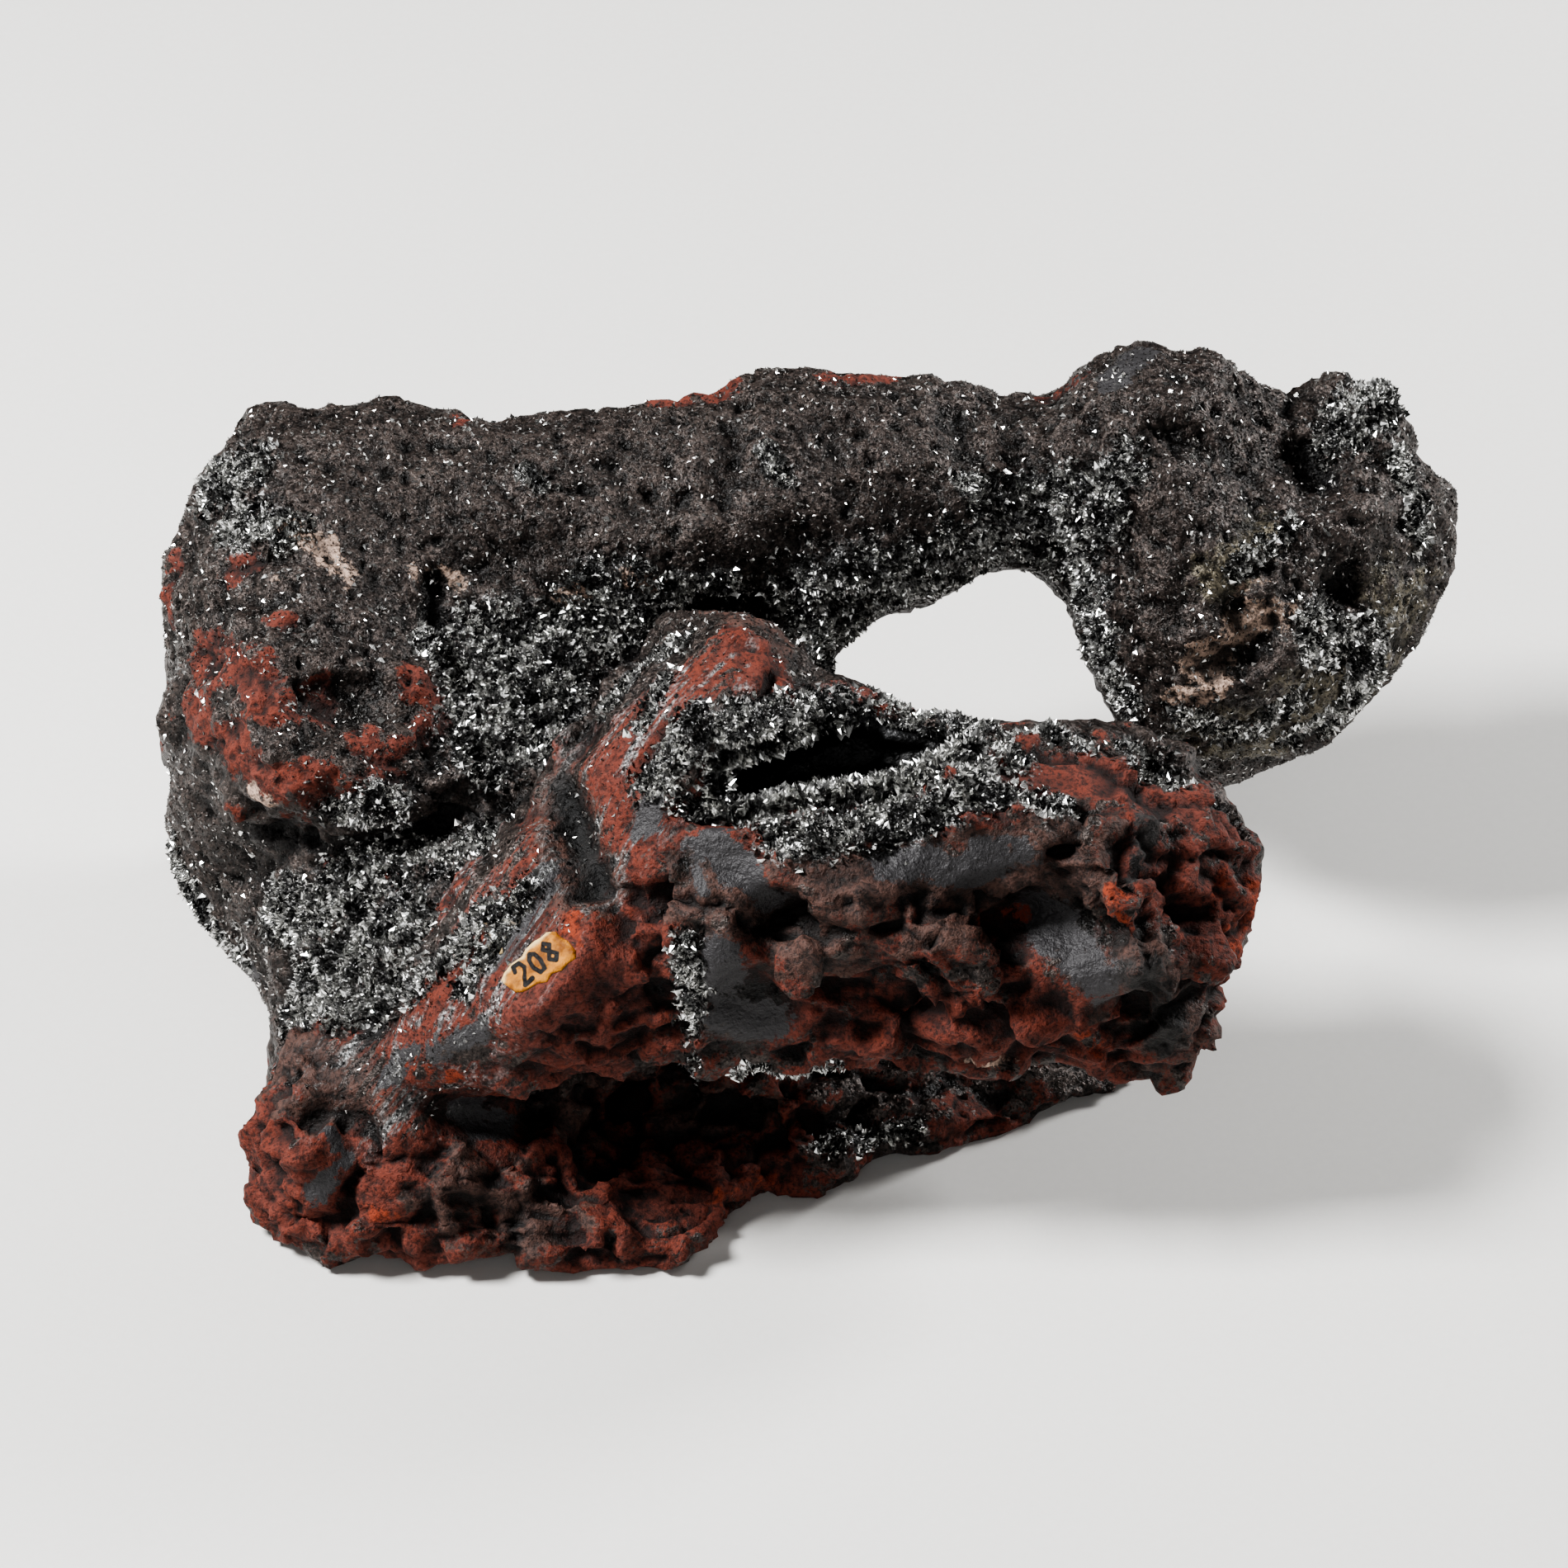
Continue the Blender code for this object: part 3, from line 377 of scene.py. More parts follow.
def weather_stone(mesh, tree):
    """Works the fine relief: pitted grain, torn beds, chips, lumpy druse, and faces that stay smooth."""
    places = vertex_places(mesh)
    normals = vertex_normals(mesh)
    druse = np.clip(2 * zone_share(places, tree, sum(DRUSE.values(), [])), 0, 1)
    smooth = np.clip(2 * zone_share(places, tree, SMOOTH + SLICK), 0, 1)
    torn = np.clip(2 * zone_share(places, tree, TORN), 0, 1)
    dark = np.clip(2 * zone_share(places, tree, DARK), 0, 1)
    hidden = np.clip(-2 * normals @ np.array(NEAR), 0, 1)
    torn = np.maximum(torn, 0.75 * np.maximum(1 - dark, hidden)) * np.clip(0.55 + normals @ np.array(NEAR), 0.45, 1)
    rough = np.clip(2 * zone_share(places, tree, ROUGH), 0, 1)
    heights = np.empty((len(places), 6))
    for i, place in enumerate(places):
        spot = Vector(place) / MM
        bed = spot * BEDS
        heights[i] = (
            noise.fractal(spot / LUMP_SIZE, 0.8, 2.1, 4),
            noise.noise(spot / GRAIN_SIZE),
            noise.fractal(bed / BED_SIZE + BED_OFFSET, 0.7, 2.2, 3),
            chip_height(spot, CHIP_SIZE),
            chip_height(bed, SPLINTER_SIZE),
            noise.ridged_multi_fractal(bed / RIDGE_SIZE, 0.9, 2.1, 3, 0.9, 2.0) - 1.0,
        )
    lumps, grain, beds, chips, splinters, ridges = heights.T
    pits = np.clip(grain - PIT_START, 0, 1)
    push = (LUMP_HEIGHT + ROUGH_LUMP_HEIGHT * rough) * lumps + dark * (GRAIN_HEIGHT * grain - PIT_DEPTH * pits)
    push += torn * (1 - smooth) * (BED_HEIGHT * stepped(beds, BED_STEPS) + CHIP_HEIGHT * chips
                                   + SPLINTER_HEIGHT * splinters + RIDGE_HEIGHT * ridges)
    push += druse * (DRUSE_GRAIN_HEIGHT * grain + DRUSE_LUMP_HEIGHT * lumps)
    push *= 1 - SMOOTH_SHARE * smooth * (1 - druse)
    push *= np.clip(places[:, 2] / EVEN_FOOT, 0, 1)
    mesh.vertices.foreach_set("co", (places + normals * push[:, None] * MM).ravel())
    mesh.update()
    keep_in_box(mesh)


def thin_stone(thing):
    """Blunts the sharpest points, and leaves a few more triangles on the sides that face the viewpoint."""
    blunt = thing.modifiers.new("blunt", "SMOOTH")
    blunt.factor, blunt.iterations = 0.5, 1
    mesh = settled(thing)
    facing = vertex_normals(mesh) @ np.array(NEAR)
    levels = np.round(np.clip(0.5 - 0.5 * facing, 0.1, 1) * KEEP_LEVELS)
    group = thing.vertex_groups.new(name="keep")
    for level in range(1, KEEP_LEVELS + 1):
        group.add(np.flatnonzero(levels == level).tolist(), level / KEEP_LEVELS, "REPLACE")
    decimate = thing.modifiers.new("thin", "DECIMATE")
    decimate.ratio = STONE_TRIANGLES / (2 * len(mesh.polygons))
    decimate.vertex_group, decimate.vertex_group_factor = "keep", HIDDEN_THINNING
    decimate.use_collapse_triangulate = True
    settled(thing)
    thing.vertex_groups.clear()
    keep_in_box(thing.data)


def store(mesh, name, values):
    layer = mesh.attributes.new(name, "FLOAT", "POINT")
    layer.data.foreach_set("value", np.clip(values, 0, 1).astype(np.float32))


def hollowness(mesh):
    """How far each point lies in a hollow: a half on an even face, less on an edge that stands out."""
    places = vertex_places(mesh)
    edges = np.empty(len(mesh.edges) * 2, np.int32)
    mesh.edges.foreach_get("vertices", edges)
    first, second = edges.reshape(-1, 2).T
    ends, others = np.concatenate([first, second]), np.concatenate([second, first])
    count = np.bincount(ends, minlength=len(places))
    even = places
    for _ in range(HOLLOW_TURNS):
        sums = [np.bincount(ends, weights=even[others, axis], minlength=len(places)) for axis in range(3)]
        even = np.column_stack(sums) / count[:, None]
    depth = ((even - places) * vertex_normals(mesh)).sum(axis=1)
    return 0.5 + depth / HOLLOW_DEPTH


def mark_zones(mesh, tree):
    """Writes how much each point belongs to each kind of surface, including the crevices painted in shade, and how far
    it lies in a hollow, for the painted shade and highlight.
    """
    places = vertex_places(mesh)
    rust = np.array([noise.fractal(Vector(p) / RUST_SIZE, 0.9, 2.0, 3) for p in places])
    dark = zone_share(places, tree, DARK)
    red = np.maximum(zone_share(places, tree, RED), (RUST_SHARE + RUST_WANDER * rust) * (1 - np.clip(2 * dark, 0, 1)))
    zones = {name: zone_share(places, tree, zone) for name, zone in DRUSE.items()}
    druse = np.max(list(zones.values()), axis=0)
    for name, zone in [("brown", BROWN), ("slick", SLICK), ("pale", PALE), ("ember", EMBER), ("crevice_shade", CREVICE_SHADE),
                       ("olive", OLIVE)]:
        zones[name] = zone_share(places, tree, zone)
    polish = np.clip(2 * zone_share(places, tree, POLISH), 0, 1)
    facing = np.clip(0.45 + vertex_normals(mesh) @ np.array(NEAR), 0, 1)
    grain = np.clip(2 * dark, 0, 1) * np.clip(1.6 - 2 * np.maximum(0.65 * red, druse), 0, 1) * facing
    zones.update(red=red, druse=druse, polish=polish, hollow=hollowness(mesh),
                 grain=np.maximum(grain, POLISH_GRAIN * polish))
    for name, values in zones.items():
        store(mesh, name, values)


def texture(tree, kind, place, size, **values):
    """A noise or cell pattern with features about size millimetres across."""
    return add(tree, kind, {"Vector": place, "Scale": 1 / (size * MM), **values})


def mixed(tree, factor, first, second):
    return add(tree, "ShaderNodeMix", {0: factor, 6: first, 7: second}, data_type="RGBA").outputs[2]


def blended(tree, factor, first, second):
    return add(tree, "ShaderNodeMix", {0: factor, 2: first, 3: second}, data_type="FLOAT").outputs[0]


def ragged(tree, share, wander, amount, softness):
    """A zone's share turned into cover whose edge wanders with the noise, but never far outside the zone."""
    moved = add(tree, "ShaderNodeMath", {0: wander, 1: amount, 2: -0.5 * amount}, operation="MULTIPLY_ADD")
    held = add(tree, "ShaderNodeMath", {0: share, 1: 4.0}, operation="MULTIPLY", use_clamp=True)
    moved = add(tree, "ShaderNodeMath", {0: moved.outputs[0], 1: held.outputs[0], 2: share}, operation="MULTIPLY_ADD")
    return add(tree, "ShaderNodeMapRange", {"Value": moved.outputs[0], "From Min": 0.5 - softness,
               "From Max": 0.5 + softness}, interpolation_type="SMOOTHSTEP").outputs[0]


def share_of(tree, name):
    return add(tree, "ShaderNodeAttribute", attribute_name=name).outputs["Fac"]


def ore_material():
    """Dark metallic grain, earthy red ore, blue-grey slick faces and pale spots, laid over one another, with painted
    shade in crevices and hollows and painted highlight on edges that stand out.
    """
    made, tree, shader = new_material("iron_ore")
    place = add(tree, "ShaderNodeTexCoord").outputs["Object"]
    broad = texture(tree, "ShaderNodeTexNoise", place, 5, Detail=5.0, Roughness=0.6).outputs["Fac"]
    middle = texture(tree, "ShaderNodeTexNoise", place, 1.6, Detail=4.0, Roughness=0.65).outputs["Fac"]
    fine = texture(tree, "ShaderNodeTexNoise", place, 0.5, Detail=3.0, Roughness=0.6).outputs["Fac"]
    cells = texture(tree, "ShaderNodeTexVoronoi", place, 0.34)
    cell_tone = add(tree, "ShaderNodeSeparateColor", {0: cells.outputs["Color"]}).outputs[0]

    dark = mixed(tree, middle, (0.007, 0.005, 0.005, 1), (0.052, 0.041, 0.036, 1))
    grain = add(tree, "ShaderNodeMapRange", {"Value": cell_tone, "To Min": 0.4, "To Max": 1.6}).outputs[0]
    dark = add(tree, "ShaderNodeVectorMath", {0: dark, "Scale": grain}, operation="SCALE").outputs[0]
    brown = mixed(tree, middle, (0.010, 0.006, 0.005, 1), (0.070, 0.034, 0.026, 1))
    deep_red = mixed(tree, middle, (0.016, 0.004, 0.003, 1), (0.115, 0.021, 0.010, 1))
    red = mixed(tree, ragged(tree, broad, fine, 0.3, 0.2), deep_red, (0.072, 0.017, 0.011, 1))
    slick = mixed(tree, broad, (0.014, 0.013, 0.014, 1), (0.044, 0.042, 0.044, 1))
    pale = mixed(tree, fine, (0.12, 0.08, 0.062, 1), (0.38, 0.27, 0.21, 1))
    ember = mixed(tree, middle, (0.05, 0.010, 0.005, 1), (0.19, 0.032, 0.013, 1))
    # Near-black painted shade for the crevices, cracks and pits.
    crevice_shade = mixed(tree, fine, (0.003, 0.003, 0.003, 1), (0.022, 0.019, 0.018, 1))
    olive = mixed(tree, middle, (0.020, 0.017, 0.012, 1), (0.140, 0.122, 0.088, 1))
    glitter = mixed(tree, cell_tone, (0.010, 0.010, 0.010, 1), (0.230, 0.230, 0.228, 1))

    edge = texture(tree, "ShaderNodeTexNoise", place, 4.5, Detail=9.0, Roughness=0.74).outputs["Fac"]
    run = add(tree, "ShaderNodeVectorMath", {0: place, 1: RAMP_RUN}, operation="DOT_PRODUCT").outputs["Value"]
    run = add(tree, "ShaderNodeMath", {0: run, 1: -RAMP_STRETCH}, operation="MULTIPLY").outputs[0]
    drawn = add(tree, "ShaderNodeVectorMath", {0: RAMP_RUN, "Scale": run}, operation="SCALE").outputs[0]
    drawn = add(tree, "ShaderNodeVectorMath", {0: place, 1: drawn}, operation="ADD").outputs[0]
    streak = texture(tree, "ShaderNodeTexNoise", drawn, 2.4, Detail=7.0, Roughness=0.70).outputs["Fac"]
    edge = blended(tree, share_of(tree, "polish"), edge, streak)
    silver = add(tree, "ShaderNodeMapRange", {"Value": streak, "From Min": 0.53, "From Max": 0.62}).outputs[0]
    silver = add(tree, "ShaderNodeMath", {0: silver, 1: share_of(tree, "polish")}, operation="MULTIPLY").outputs[0]
    covers = {"silver": silver}
    for name, amount, softness in [("red", 3.2, 0.06), ("brown", 4.0, 0.10), ("slick", 2.6, 0.05),
                                   ("pale", 4.0, 0.10), ("ember", 4.5, 0.16), ("crevice_shade", 2.6, 0.20),
                                   ("druse", 3.0, 0.10), ("olive", 3.0, 0.20)]:
        covers[name] = ragged(tree, share_of(tree, name), edge, amount, softness)
    colour = dark
    # The crevices' near-black colour is painted shade, laid last.
    for name, layer in [("red", red), ("brown", brown), ("olive", olive), ("slick", slick), ("silver", glitter),
                        ("druse", glitter), ("pale", pale), ("ember", ember), ("crevice_shade", crevice_shade)]:
        colour = mixed(tree, covers[name], colour, layer)
    # Painted light: the colour is darkened in hollows as painted shade and lightened on edges that stand out as painted
    # highlight. Darker specks from the noise are multiplied in, and slick faces are left nearly even.
    hollow = share_of(tree, "hollow")
    shade = add(tree, "ShaderNodeMapRange", {"Value": hollow, "From Min": 0.30, "From Max": 0.85, "To Min": 1.25,
                                             "To Max": 0.12}).outputs[0]
    for pattern, low, high in [(fine, 0.34, 0.52), (middle, 0.32, 0.50)]:
        specks = add(tree, "ShaderNodeMapRange", {"Value": pattern, "From Min": low, "From Max": high,
                                                  "To Min": 0.25, "To Max": 1.1}).outputs[0]
        shade = add(tree, "ShaderNodeMath", {0: shade, 1: specks}, operation="MULTIPLY").outputs[0]
    shade = blended(tree, covers["slick"], shade, 0.95)
    colour = add(tree, "ShaderNodeVectorMath", {0: colour, "Scale": shade}, operation="SCALE").outputs[0]
    tree.links.new(colour, shader.inputs["Base Color"])

    rough, metal = 0.42, 0.45
    for name, finish, shine in [("red", 0.80, 0.0), ("brown", 0.70, 0.05), ("slick", 0.50, 0.12), ("silver", 0.3, 0.8),
                                ("druse", 0.26, 0.9), ("pale", 0.7, 0.0), ("ember", 0.9, 0.0)]:
        rough = blended(tree, covers[name], rough, finish)
        metal = blended(tree, covers[name], metal, shine)
    tree.links.new(rough, shader.inputs["Roughness"])
    tree.links.new(metal, shader.inputs["Metallic"])
    shader.inputs["Specular IOR Level"].default_value = 0.28

    relief = add(tree, "ShaderNodeBump", {"Height": middle, "Strength": 0.9, "Distance": 0.7 * MM})
    relief = add(tree, "ShaderNodeBump", {"Height": fine, "Strength": 0.7, "Distance": 0.25 * MM,
                                          "Normal": relief.outputs[0]})
    tilt = add(tree, "ShaderNodeVectorMath", {0: cells.outputs["Color"], 1: (0.5, 0.5, 0.5)}, operation="SUBTRACT")
    dull = add(tree, "ShaderNodeMath", {0: metal, 1: 1.3}, operation="MULTIPLY", use_clamp=True)
    tilt = add(tree, "ShaderNodeVectorMath", {0: tilt.outputs[0], "Scale": dull.outputs[0]}, operation="SCALE")
    turned = add(tree, "ShaderNodeVectorMath", {0: relief.outputs[0], 1: tilt.outputs[0]}, operation="ADD")
    turned = add(tree, "ShaderNodeVectorMath", {0: turned.outputs[0]}, operation="NORMALIZE")
    tree.links.new(turned.outputs[0], shader.inputs["Normal"])
    return made


stone = merged_copy("hematite_rock", "ore_body")
stone_tree = BVHTree.FromObject(stone, bpy.context.evaluated_depsgraph_get())
voxel_mesh(stone, FINE_VOXEL, FACET_SOFTENING)
weather_stone(stone.data, stone_tree)
thin_stone(stone)
mark_zones(stone.data, stone_tree)
stone.data.shade_smooth()
stone.data.materials.clear()
stone.data.materials.append(ore_material())
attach(stone, "root")
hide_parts("hematite_rock")

# The crystals: thin bright plates of specular hematite that grew out of the stone's open surfaces, standing on
# edge in the druse, and a fine sparkling grain all over the dark slope and the lobe. All are of one piece with
# the stone. Geometry Nodes scatter them over its faces, where the zones say.
CRYSTAL_SHARE = (0.30, 0.62)
PATCHINESS = 3.0
DRUSE_CRYSTALS = {"per_area": 12.0e6, "smallest": 0.25 * MM, "largest": 0.90 * MM, "thinness": 0.15, "lean": 0.7}
GRAIN_CRYSTALS = {"per_area": 2.2e6, "smallest": 0.16 * MM, "largest": 0.38 * MM, "thinness": 0.40, "lean": 1.2}
GLINT_CRYSTALS = {"per_area": 0.15e6, "smallest": 0.35 * MM, "largest": 0.65 * MM, "thinness": 0.40, "lean": 1.5}


def crystal_tree():
    """Geometry Nodes that stand flat double-pointed crystals on a mesh where its zone attribute is high."""
    tree = bpy.data.node_groups.new("grow_crystals", "GeometryNodeTree")
    for name, kind in [("Geometry", "Geometry"), ("Zone", "String"), ("Per square metre", "Float"),
                       ("Smallest", "Float"), ("Largest", "Float"), ("Thinness", "Float"), ("Lean", "Float"),
                       ("Sides", "Int"), ("Seed", "Int"), ("Finish", "Material")]:
        tree.interface.new_socket(name, in_out="INPUT", socket_type="NodeSocket" + kind)
    tree.interface.new_socket("Geometry", in_out="OUTPUT", socket_type="NodeSocketGeometry")
    given = add(tree, "NodeGroupInput").outputs
    share = add(tree, "GeometryNodeInputNamedAttribute", {"Name": given["Zone"]}, data_type="FLOAT").outputs[0]
    patchy = add(tree, "ShaderNodeTexNoise", {"Scale": 1 / (2.5 * MM), "Detail": 3.0}).outputs[0]
    patchy = add(tree, "ShaderNodeMath", {0: patchy, 1: PATCHINESS, 2: 1 - PATCHINESS / 2}, operation="MULTIPLY_ADD")
    share = add(tree, "ShaderNodeMath", {0: share, 1: patchy.outputs[0]}, operation="MULTIPLY").outputs[0]
    cover = add(tree, "ShaderNodeMapRange", {"Value": share, "From Min": CRYSTAL_SHARE[0],
                                             "From Max": CRYSTAL_SHARE[1]}).outputs[0]
    density = add(tree, "ShaderNodeMath", {0: cover, 1: given["Per square metre"]}, operation="MULTIPLY")
    sown = add(tree, "GeometryNodeDistributePointsOnFaces", {
        "Mesh": given["Geometry"], "Density": density.outputs[0], "Seed": given["Seed"]})
    upright = add(tree, "FunctionNodeAlignRotationToVector", {"Vector": sown.outputs["Normal"]}, axis="X")
    less = add(tree, "ShaderNodeMath", {0: 0.0, 1: given["Lean"]}, operation="SUBTRACT").outputs[0]
    turn_low = add(tree, "ShaderNodeCombineXYZ", {0: 0.0, 1: less, 2: less}).outputs[0]
    turn_high = add(tree, "ShaderNodeCombineXYZ", {0: 2 * pi, 1: given["Lean"], 2: given["Lean"]}).outputs[0]
    turn = add(tree, "FunctionNodeRandomValue", {0: turn_low, 1: turn_high, "Seed": given["Seed"]},
               data_type="FLOAT_VECTOR").outputs[0]
    turn = add(tree, "FunctionNodeEulerToRotation", {0: turn}).outputs[0]
    turned = add(tree, "FunctionNodeRotateRotation", {0: upright.outputs[0], 1: turn}, rotation_space="LOCAL")
    size = add(tree, "FunctionNodeRandomValue", {2: given["Smallest"], 3: given["Largest"], "Seed": given["Seed"]},
               data_type="FLOAT").outputs[1]
    width = add(tree, "FunctionNodeRandomValue", {2: 0.3, 3: 0.75, "Seed": given["Seed"]}, data_type="FLOAT").outputs[1]
    shape = add(tree, "ShaderNodeCombineXYZ", {0: 1.0, 1: width, 2: given["Thinness"]}).outputs[0]
    scale = add(tree, "ShaderNodeVectorMath", {0: shape, "Scale": size}, operation="SCALE").outputs[0]
    crystal = add(tree, "GeometryNodeMeshUVSphere", {"Segments": given["Sides"], "Rings": 2, "Radius": 1.0})
    placed = add(tree, "GeometryNodeInstanceOnPoints", {
        "Points": sown.outputs["Points"], "Instance": crystal.outputs["Mesh"], "Rotation": turned.outputs[0],
        "Scale": scale})
    tone = add(tree, "FunctionNodeRandomValue", {2: 0.0, 3: 1.0, "Seed": given["Seed"]}, data_type="FLOAT").outputs[1]
    toned = add(tree, "GeometryNodeStoreNamedAttribute", {"Geometry": placed.outputs[0], "Name": "tone", "Value": tone},
                data_type="FLOAT", domain="INSTANCE")
    real = add(tree, "GeometryNodeRealizeInstances", {0: toned.outputs[0]})
    flat = add(tree, "GeometryNodeSetShadeSmooth", {"Geometry": real.outputs[0], "Shade Smooth": False})
    done = add(tree, "GeometryNodeSetMaterial", {"Geometry": flat.outputs[0], "Material": given["Finish"]})
    add(tree, "NodeGroupOutput", {0: done.outputs[0]})
    return tree


def crystal_finish(name, dark, bright, few_bright, roughness, metallic):
    """Each crystal has one tone, from dark to bright: the higher few_bright is, the fewer are bright."""
    made, tree, shader = new_material(name)
    tone = add(tree, "ShaderNodeMath", {0: share_of(tree, "tone"), 1: few_bright}, operation="POWER").outputs[0]
    place = add(tree, "ShaderNodeTexCoord").outputs["Object"]
    film = texture(tree, "ShaderNodeTexNoise", place, 3.0, Detail=2.0).outputs["Fac"]
    colour = mixed(tree, tone, dark, bright)
    stained = add(tree, "ShaderNodeMapRange", {"Value": film, "From Min": 0.46, "From Max": 0.60}).outputs[0]
    colour = mixed(tree, stained, colour, mixed(tree, 0.75, colour, dark))
    tree.links.new(colour, shader.inputs["Base Color"])
    rough = add(tree, "ShaderNodeMapRange", {"Value": film, "To Min": roughness * 0.7, "To Max": roughness * 1.4})
    tree.links.new(rough.outputs[0], shader.inputs["Roughness"])
    shader.inputs["Metallic"].default_value = metallic
    return made


def grow_crystals(name, base, zone, sizes, seed, finish, sides=4):
    """One piece of crystals over the base mesh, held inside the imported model's box."""
    piece = put_in_scene(name, base)
    grow = piece.modifiers.new("grow", "NODES")
    grow.node_group = growing
    values = {"Zone": zone, "Per square metre": sizes["per_area"], "Smallest": sizes["smallest"],
              "Largest": sizes["largest"], "Thinness": sizes["thinness"], "Lean": sizes["lean"], "Sides": sides,
              "Seed": seed, "Finish": finish}
    for item in growing.interface.items_tree:
        if item.in_out == "INPUT" and item.name in values:
            grow[item.identifier] = values[item.name]
    keep_in_box(settled(piece))
    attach(piece, "root")


growing = crystal_tree()
bright_plate = crystal_finish("bright_plates", (0.06, 0.06, 0.06, 1), (0.92, 0.92, 0.90, 1), 1.4, 0.22, 1.0)
dark_grain = crystal_finish("dark_grains", (0.020, 0.016, 0.014, 1), (0.90, 0.88, 0.85, 1), 5.0, 0.25, 0.9)
for order, zone in enumerate(DRUSE):
    grow_crystals(zone, stone.data, zone, DRUSE_CRYSTALS, order, bright_plate)
grow_crystals("sparkling_grain", stone.data, "grain", GRAIN_CRYSTALS, 11, dark_grain, sides=3)
grow_crystals("glints", stone.data, "grain", GLINT_CRYSTALS, 12, bright_plate)

# The lining of the vug: a crust of the same plates, closest and longest here, on a dark metallic skin that is painted
# darker as shade the deeper it lies in the vug. It takes the place of the imported crust, whose coarse points stand for
# it.
CRUST_VOXEL = 0.45 * MM
CRUST_SOFTENING = 6
CRUST_CRYSTALS = {"per_area": 12.0e6, "smallest": 0.40 * MM, "largest": 1.60 * MM, "thinness": 0.12, "lean": 0.6}
# Painted shade: hollows in the vug where the skin is painted black and no plates grow.
PAINTED_SHADE_HOLLOWS = [(2.6, [(895, 930), (985, 934)]), (1.6, [(1005, 945), (1120, 912)])]


def crust_finish():
    made, tree, shader = new_material("crust_skin")
    place = add(tree, "ShaderNodeTexCoord").outputs["Object"]
    fine = texture(tree, "ShaderNodeTexNoise", place, 0.6, Detail=3.0).outputs["Fac"]
    skin = mixed(tree, fine, (0.006, 0.006, 0.007, 1), (0.10, 0.10, 0.104, 1))
    # Painted shade: the skin is painted towards black the deeper it lies in the vug, away from the viewpoint.
    skin = mixed(tree, share_of(tree, "rise"), (0.002, 0.002, 0.002, 1), skin)
    tree.links.new(skin, shader.inputs["Base Color"])
    bump = add(tree, "ShaderNodeBump", {"Height": fine, "Strength": 0.8, "Distance": 0.4 * MM})
    tree.links.new(bump.outputs[0], shader.inputs["Normal"])
    shader.inputs["Roughness"].default_value = 0.4
    shader.inputs["Metallic"].default_value = 0.7
    return made


crust = merged_copy("vug_crystal_crust", "crust_skin")
voxel_mesh(crust, CRUST_VOXEL, CRUST_SOFTENING)
crust_tree = BVHTree.FromObject(crust, bpy.context.evaluated_depsgraph_get())
crust_places = vertex_places(crust.data)
# How far each point rises towards the viewpoint: it thins the plates deep in the vug and sets the skin's painted shade
# there.
rise = crust_places @ np.array(NEAR)
rise = (rise - rise.min()) / (rise.max() - rise.min())
rise *= 1 - np.clip(2 * zone_share(crust_places, crust_tree, PAINTED_SHADE_HOLLOWS), 0, 1)
store(crust.data, "rise", rise)
crust_facing = 0.5 + 0.8 * vertex_normals(crust.data) @ np.array(NEAR)
store(crust.data, "lining", crust_facing * np.clip(2.2 * rise - 0.5, 0, 1))
crust.data.shade_smooth()
crust.data.materials.clear()
crust.data.materials.append(crust_finish())
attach(crust, "root")
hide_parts("vug_crystal_crust")
grow_crystals("vug_plates", crust.data, "lining", CRUST_CRYSTALS, 21, bright_plate)

# The dab of paint: a yellowed film brushed on by hand, thick and cream along its upper edge and ochre in the
# middle, with a plain number inked on it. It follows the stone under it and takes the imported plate's place.
PAINT_OUTLINE = [
    (608, 1190), (612, 1179), (622, 1167), (633, 1160), (637, 1152), (645, 1143), (657, 1136), (663, 1130),
    (674, 1129), (679, 1135), (688, 1140), (698, 1152), (698, 1161), (688, 1168), (681, 1176), (669, 1180),
    (663, 1190), (651, 1192), (642, 1198), (634, 1202), (625, 1203), (616, 1196),
]
UPPER_EDGE_POINTS = 8
RIM_STEPS = 12
PAINT_GRID = 1.3
PAINT_HEIGHT = 0.55 * MM
PAINT_ROOT = 0.5 * MM
DOME_WIDTH, EDGE_WIDTH, WAVE_SIZE = 5, 11, 9
DIGIT_MIDDLE = (652, 1168)
DIGIT_SLOPE = radians(38)
DIGIT_HEIGHT, DIGIT_WIDTH, DIGIT_STEP = 25, 13, 21
INK_WIDTH, INK_STRENGTH = 2.3, 1.7
DIGITS = [
    [(0.0, 0.75), (0.2, 1.0), (0.8, 1.0), (1.0, 0.7), (0.6, 0.4), (0.0, 0.0), (1.0, 0.02)],
    [(0.5, 1.0), (0.1, 0.8), (0.0, 0.4), (0.3, 0.0), (0.8, 0.05), (1.0, 0.5), (0.85, 0.9), (0.5, 1.0)],
    [(0.5, 0.55), (0.1, 0.8), (0.5, 1.0), (0.9, 0.8), (0.5, 0.55), (0.05, 0.25), (0.5, 0.0), (0.95, 0.25), (0.5, 0.55)],
]


def inked(spots):
    """How dark the ink is at each (across, down), from 0 to 1."""
    away = np.full(len(spots), np.inf)
    for order, digit in enumerate(DIGITS):
        path = []
        for right, rise in digit:
            along = (order - 1) * DIGIT_STEP + (right - 0.5) * DIGIT_WIDTH
            aside = (rise - 0.5) * DIGIT_HEIGHT
            path.append((DIGIT_MIDDLE[0] + along * cos(DIGIT_SLOPE) - aside * sin(DIGIT_SLOPE),
                         DIGIT_MIDDLE[1] - along * sin(DIGIT_SLOPE) - aside * cos(DIGIT_SLOPE)))
        away = np.minimum(away, path_distance(spots, np.array(path)))
    return np.clip(INK_STRENGTH - away / INK_WIDTH, 0, 1)


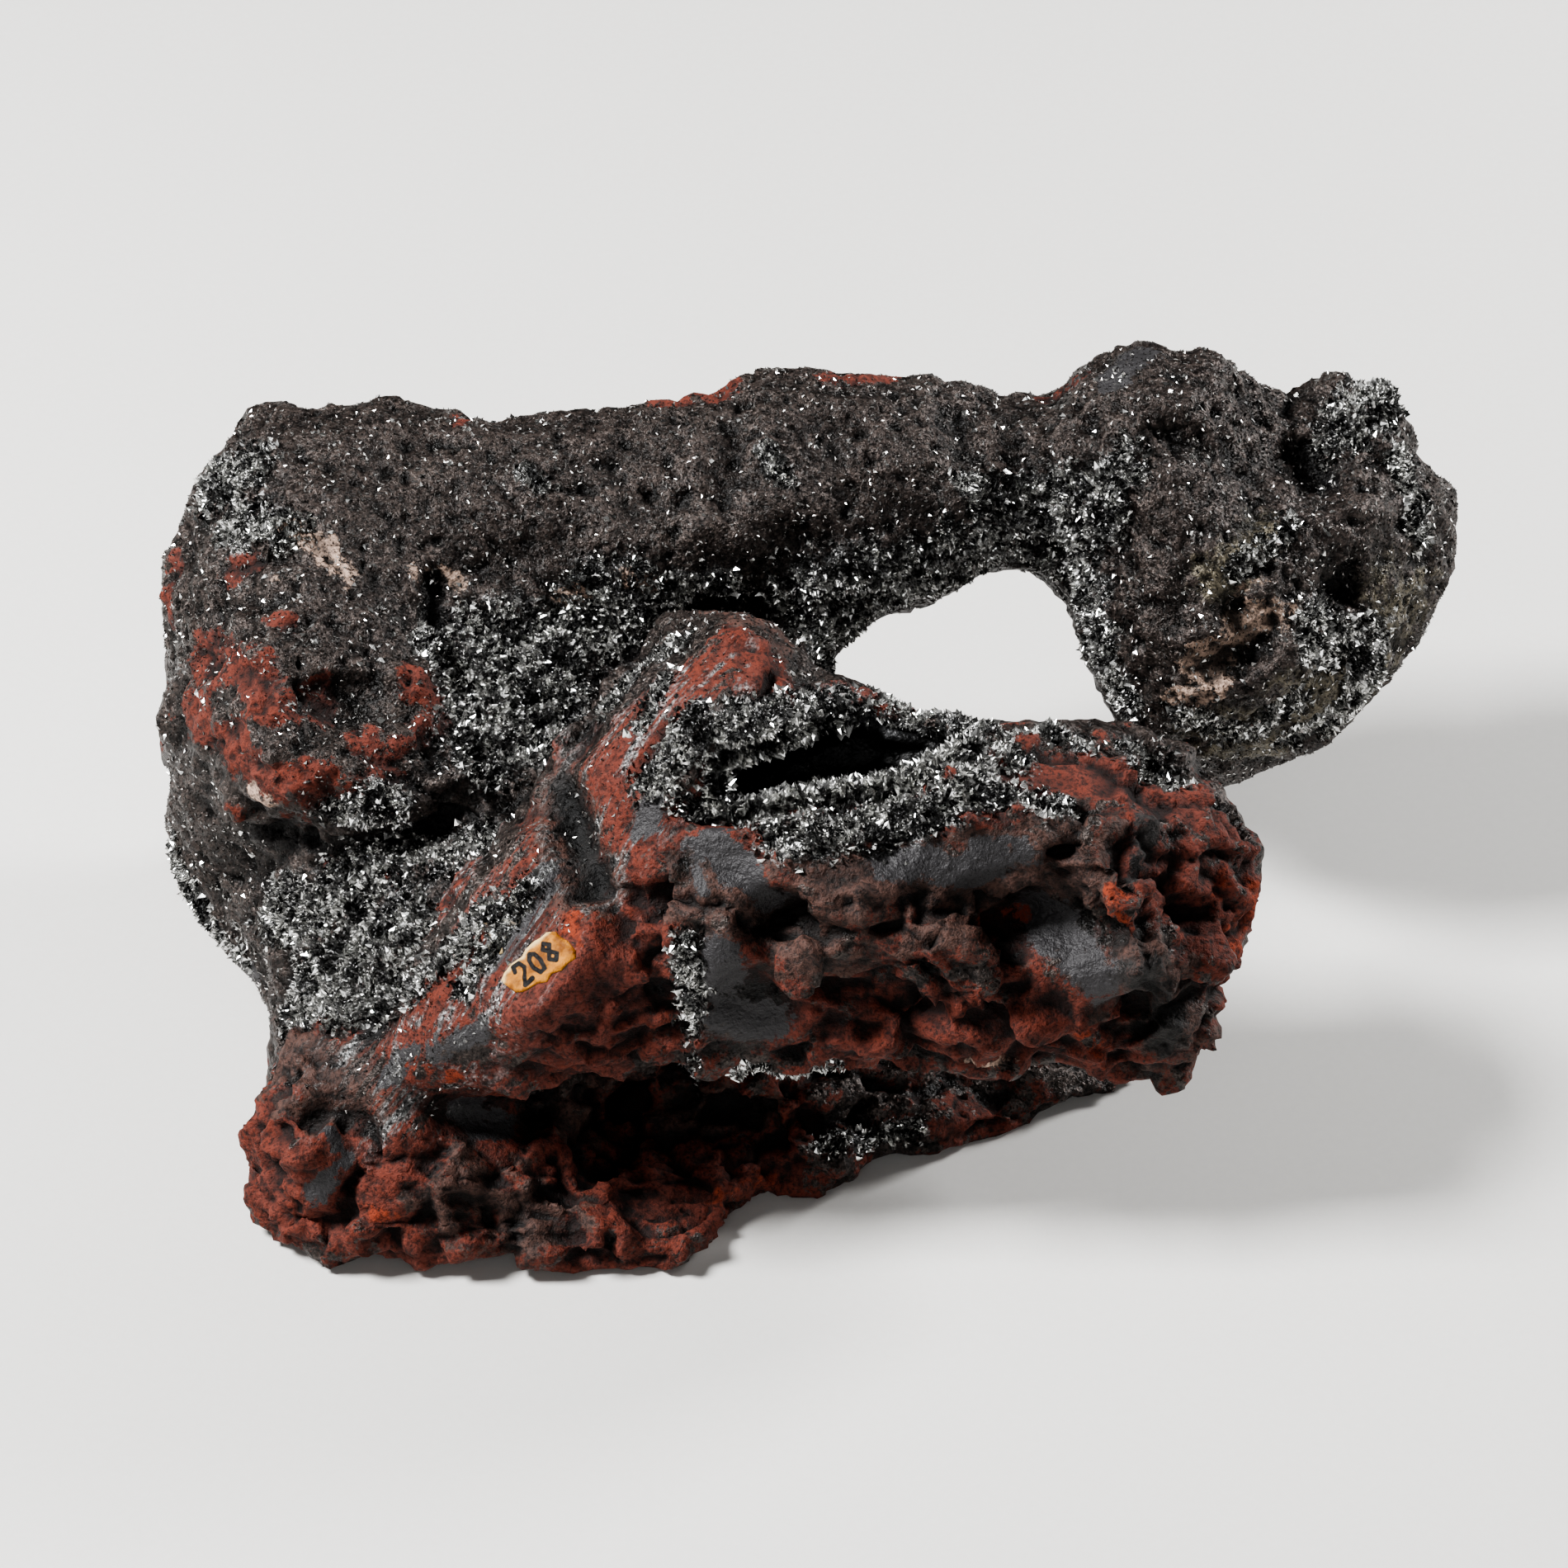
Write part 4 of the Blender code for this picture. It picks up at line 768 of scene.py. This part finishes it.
def paint_mesh():
    """The film: a fine sheet of points over the stone, domed at its middle, with a wall and an underside."""
    outline = np.array(PAINT_OUTLINE, float)
    low, high = outline.min(axis=0), outline.max(axis=0)
    across, down = np.meshgrid(np.arange(low[0], high[0], PAINT_GRID), np.arange(low[1], high[1], PAINT_GRID))
    grid = np.column_stack([across.ravel(), down.ravel()])
    closed = np.vstack([outline, outline[:1]])
    rim = np.vstack([a + (b - a) * np.linspace(0, 1, RIM_STEPS, endpoint=False)[:, None]
                     for a, b in zip(closed[:-1], closed[1:])])
    inside = np.zeros(len(grid), bool)
    for (x0, y0), (x1, y1) in zip(closed[:-1], closed[1:]):
        if y0 != y1:
            spans = (y0 > grid[:, 1]) != (y1 > grid[:, 1])
            inside ^= spans & (grid[:, 0] < x0 + (grid[:, 1] - y0) * (x1 - x0) / (y1 - y0))
    grid = grid[inside & (path_distance(grid, closed) > PAINT_GRID * 0.7)]
    spots = np.vstack([rim, grid])
    ring = [(i, (i + 1) % len(rim)) for i in range(len(rim))]
    flat, _, faces, *_ = delaunay_2d_cdt([Vector(p) for p in spots], ring, [], 1, 1e-4)
    spots = np.array([tuple(p) for p in flat])
    dome = np.clip(path_distance(spots, closed) / DOME_WIDTH, 0, 1) ** 0.5
    ridge = np.clip(1 - path_distance(spots, outline[:UPPER_EDGE_POINTS]) / EDGE_WIDTH, 0, 1)
    waves = np.array([noise.noise(Vector((a, b, 0)) / WAVE_SIZE) for a, b in spots])
    height = PAINT_HEIGHT * (0.25 + 0.75 * dome) * (0.75 + 0.3 * ridge + 0.35 * waves)
    level = seen_on(BVHTree.FromObject(stone, bpy.context.evaluated_depsgraph_get()), spots)
    looks = np.linalg.svd(level - level.mean(axis=0), full_matrices=False)[2][2]
    looks = looks if looks @ np.array(NEAR) > 0 else -looks
    made = bmesh.new()
    top = [made.verts.new(p) for p in level + looks * height[:, None]]
    foot = [made.verts.new(p) for p in level - looks * PAINT_ROOT]
    for face in faces:
        made.faces.new([top[i] for i in face])
        made.faces.new([foot[i] for i in reversed(face)])
    for border in [edge for edge in made.edges if edge.is_boundary and edge.verts[0] in set(top)]:
        first, second = (top.index(v) for v in border.verts)
        made.faces.new([top[first], top[second], foot[second], foot[first]])
    bmesh.ops.recalc_face_normals(made, faces=made.faces)
    mesh = bpy.data.meshes.new("paint_dab")
    made.to_mesh(mesh)
    made.free()
    store(mesh, "cream", np.concatenate([ridge, ridge]))
    store(mesh, "ink", np.concatenate([inked(spots), 0 * height]))
    return mesh


def paint_finish():
    made, tree, shader = new_material("old_paint")
    place = add(tree, "ShaderNodeTexCoord").outputs["Object"]
    broad = texture(tree, "ShaderNodeTexNoise", place, 2.2, Detail=4.0).outputs["Fac"]
    fine = texture(tree, "ShaderNodeTexNoise", place, 0.35, Detail=3.0).outputs["Fac"]
    thick = add(tree, "ShaderNodeMapRange", {"Value": broad, "From Min": 0.40, "From Max": 0.60}).outputs[0]
    ochre = mixed(tree, thick, (0.15, 0.050, 0.006, 1), (0.40, 0.165, 0.022, 1))
    cream = mixed(tree, fine, (0.42, 0.26, 0.09, 1), (0.76, 0.58, 0.30, 1))
    colour = mixed(tree, ragged(tree, share_of(tree, "cream"), broad, 1.0, 0.20), ochre, cream)
    ink = ragged(tree, share_of(tree, "ink"), fine, 0.3, 0.20)
    colour = mixed(tree, ink, colour, (0.002, 0.001, 0.001, 1))
    tree.links.new(colour, shader.inputs["Base Color"])
    bump = add(tree, "ShaderNodeBump", {"Height": fine, "Strength": 0.6, "Distance": 0.3 * MM})
    tree.links.new(bump.outputs[0], shader.inputs["Normal"])
    shader.inputs["Roughness"].default_value = 0.62
    shader.inputs["Specular IOR Level"].default_value = 0.2
    return made


paint = put_in_scene("paint_dab", paint_mesh())
paint.data.materials.append(paint_finish())
paint.data.shade_smooth()
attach(paint, "root")
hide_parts("number_patch")
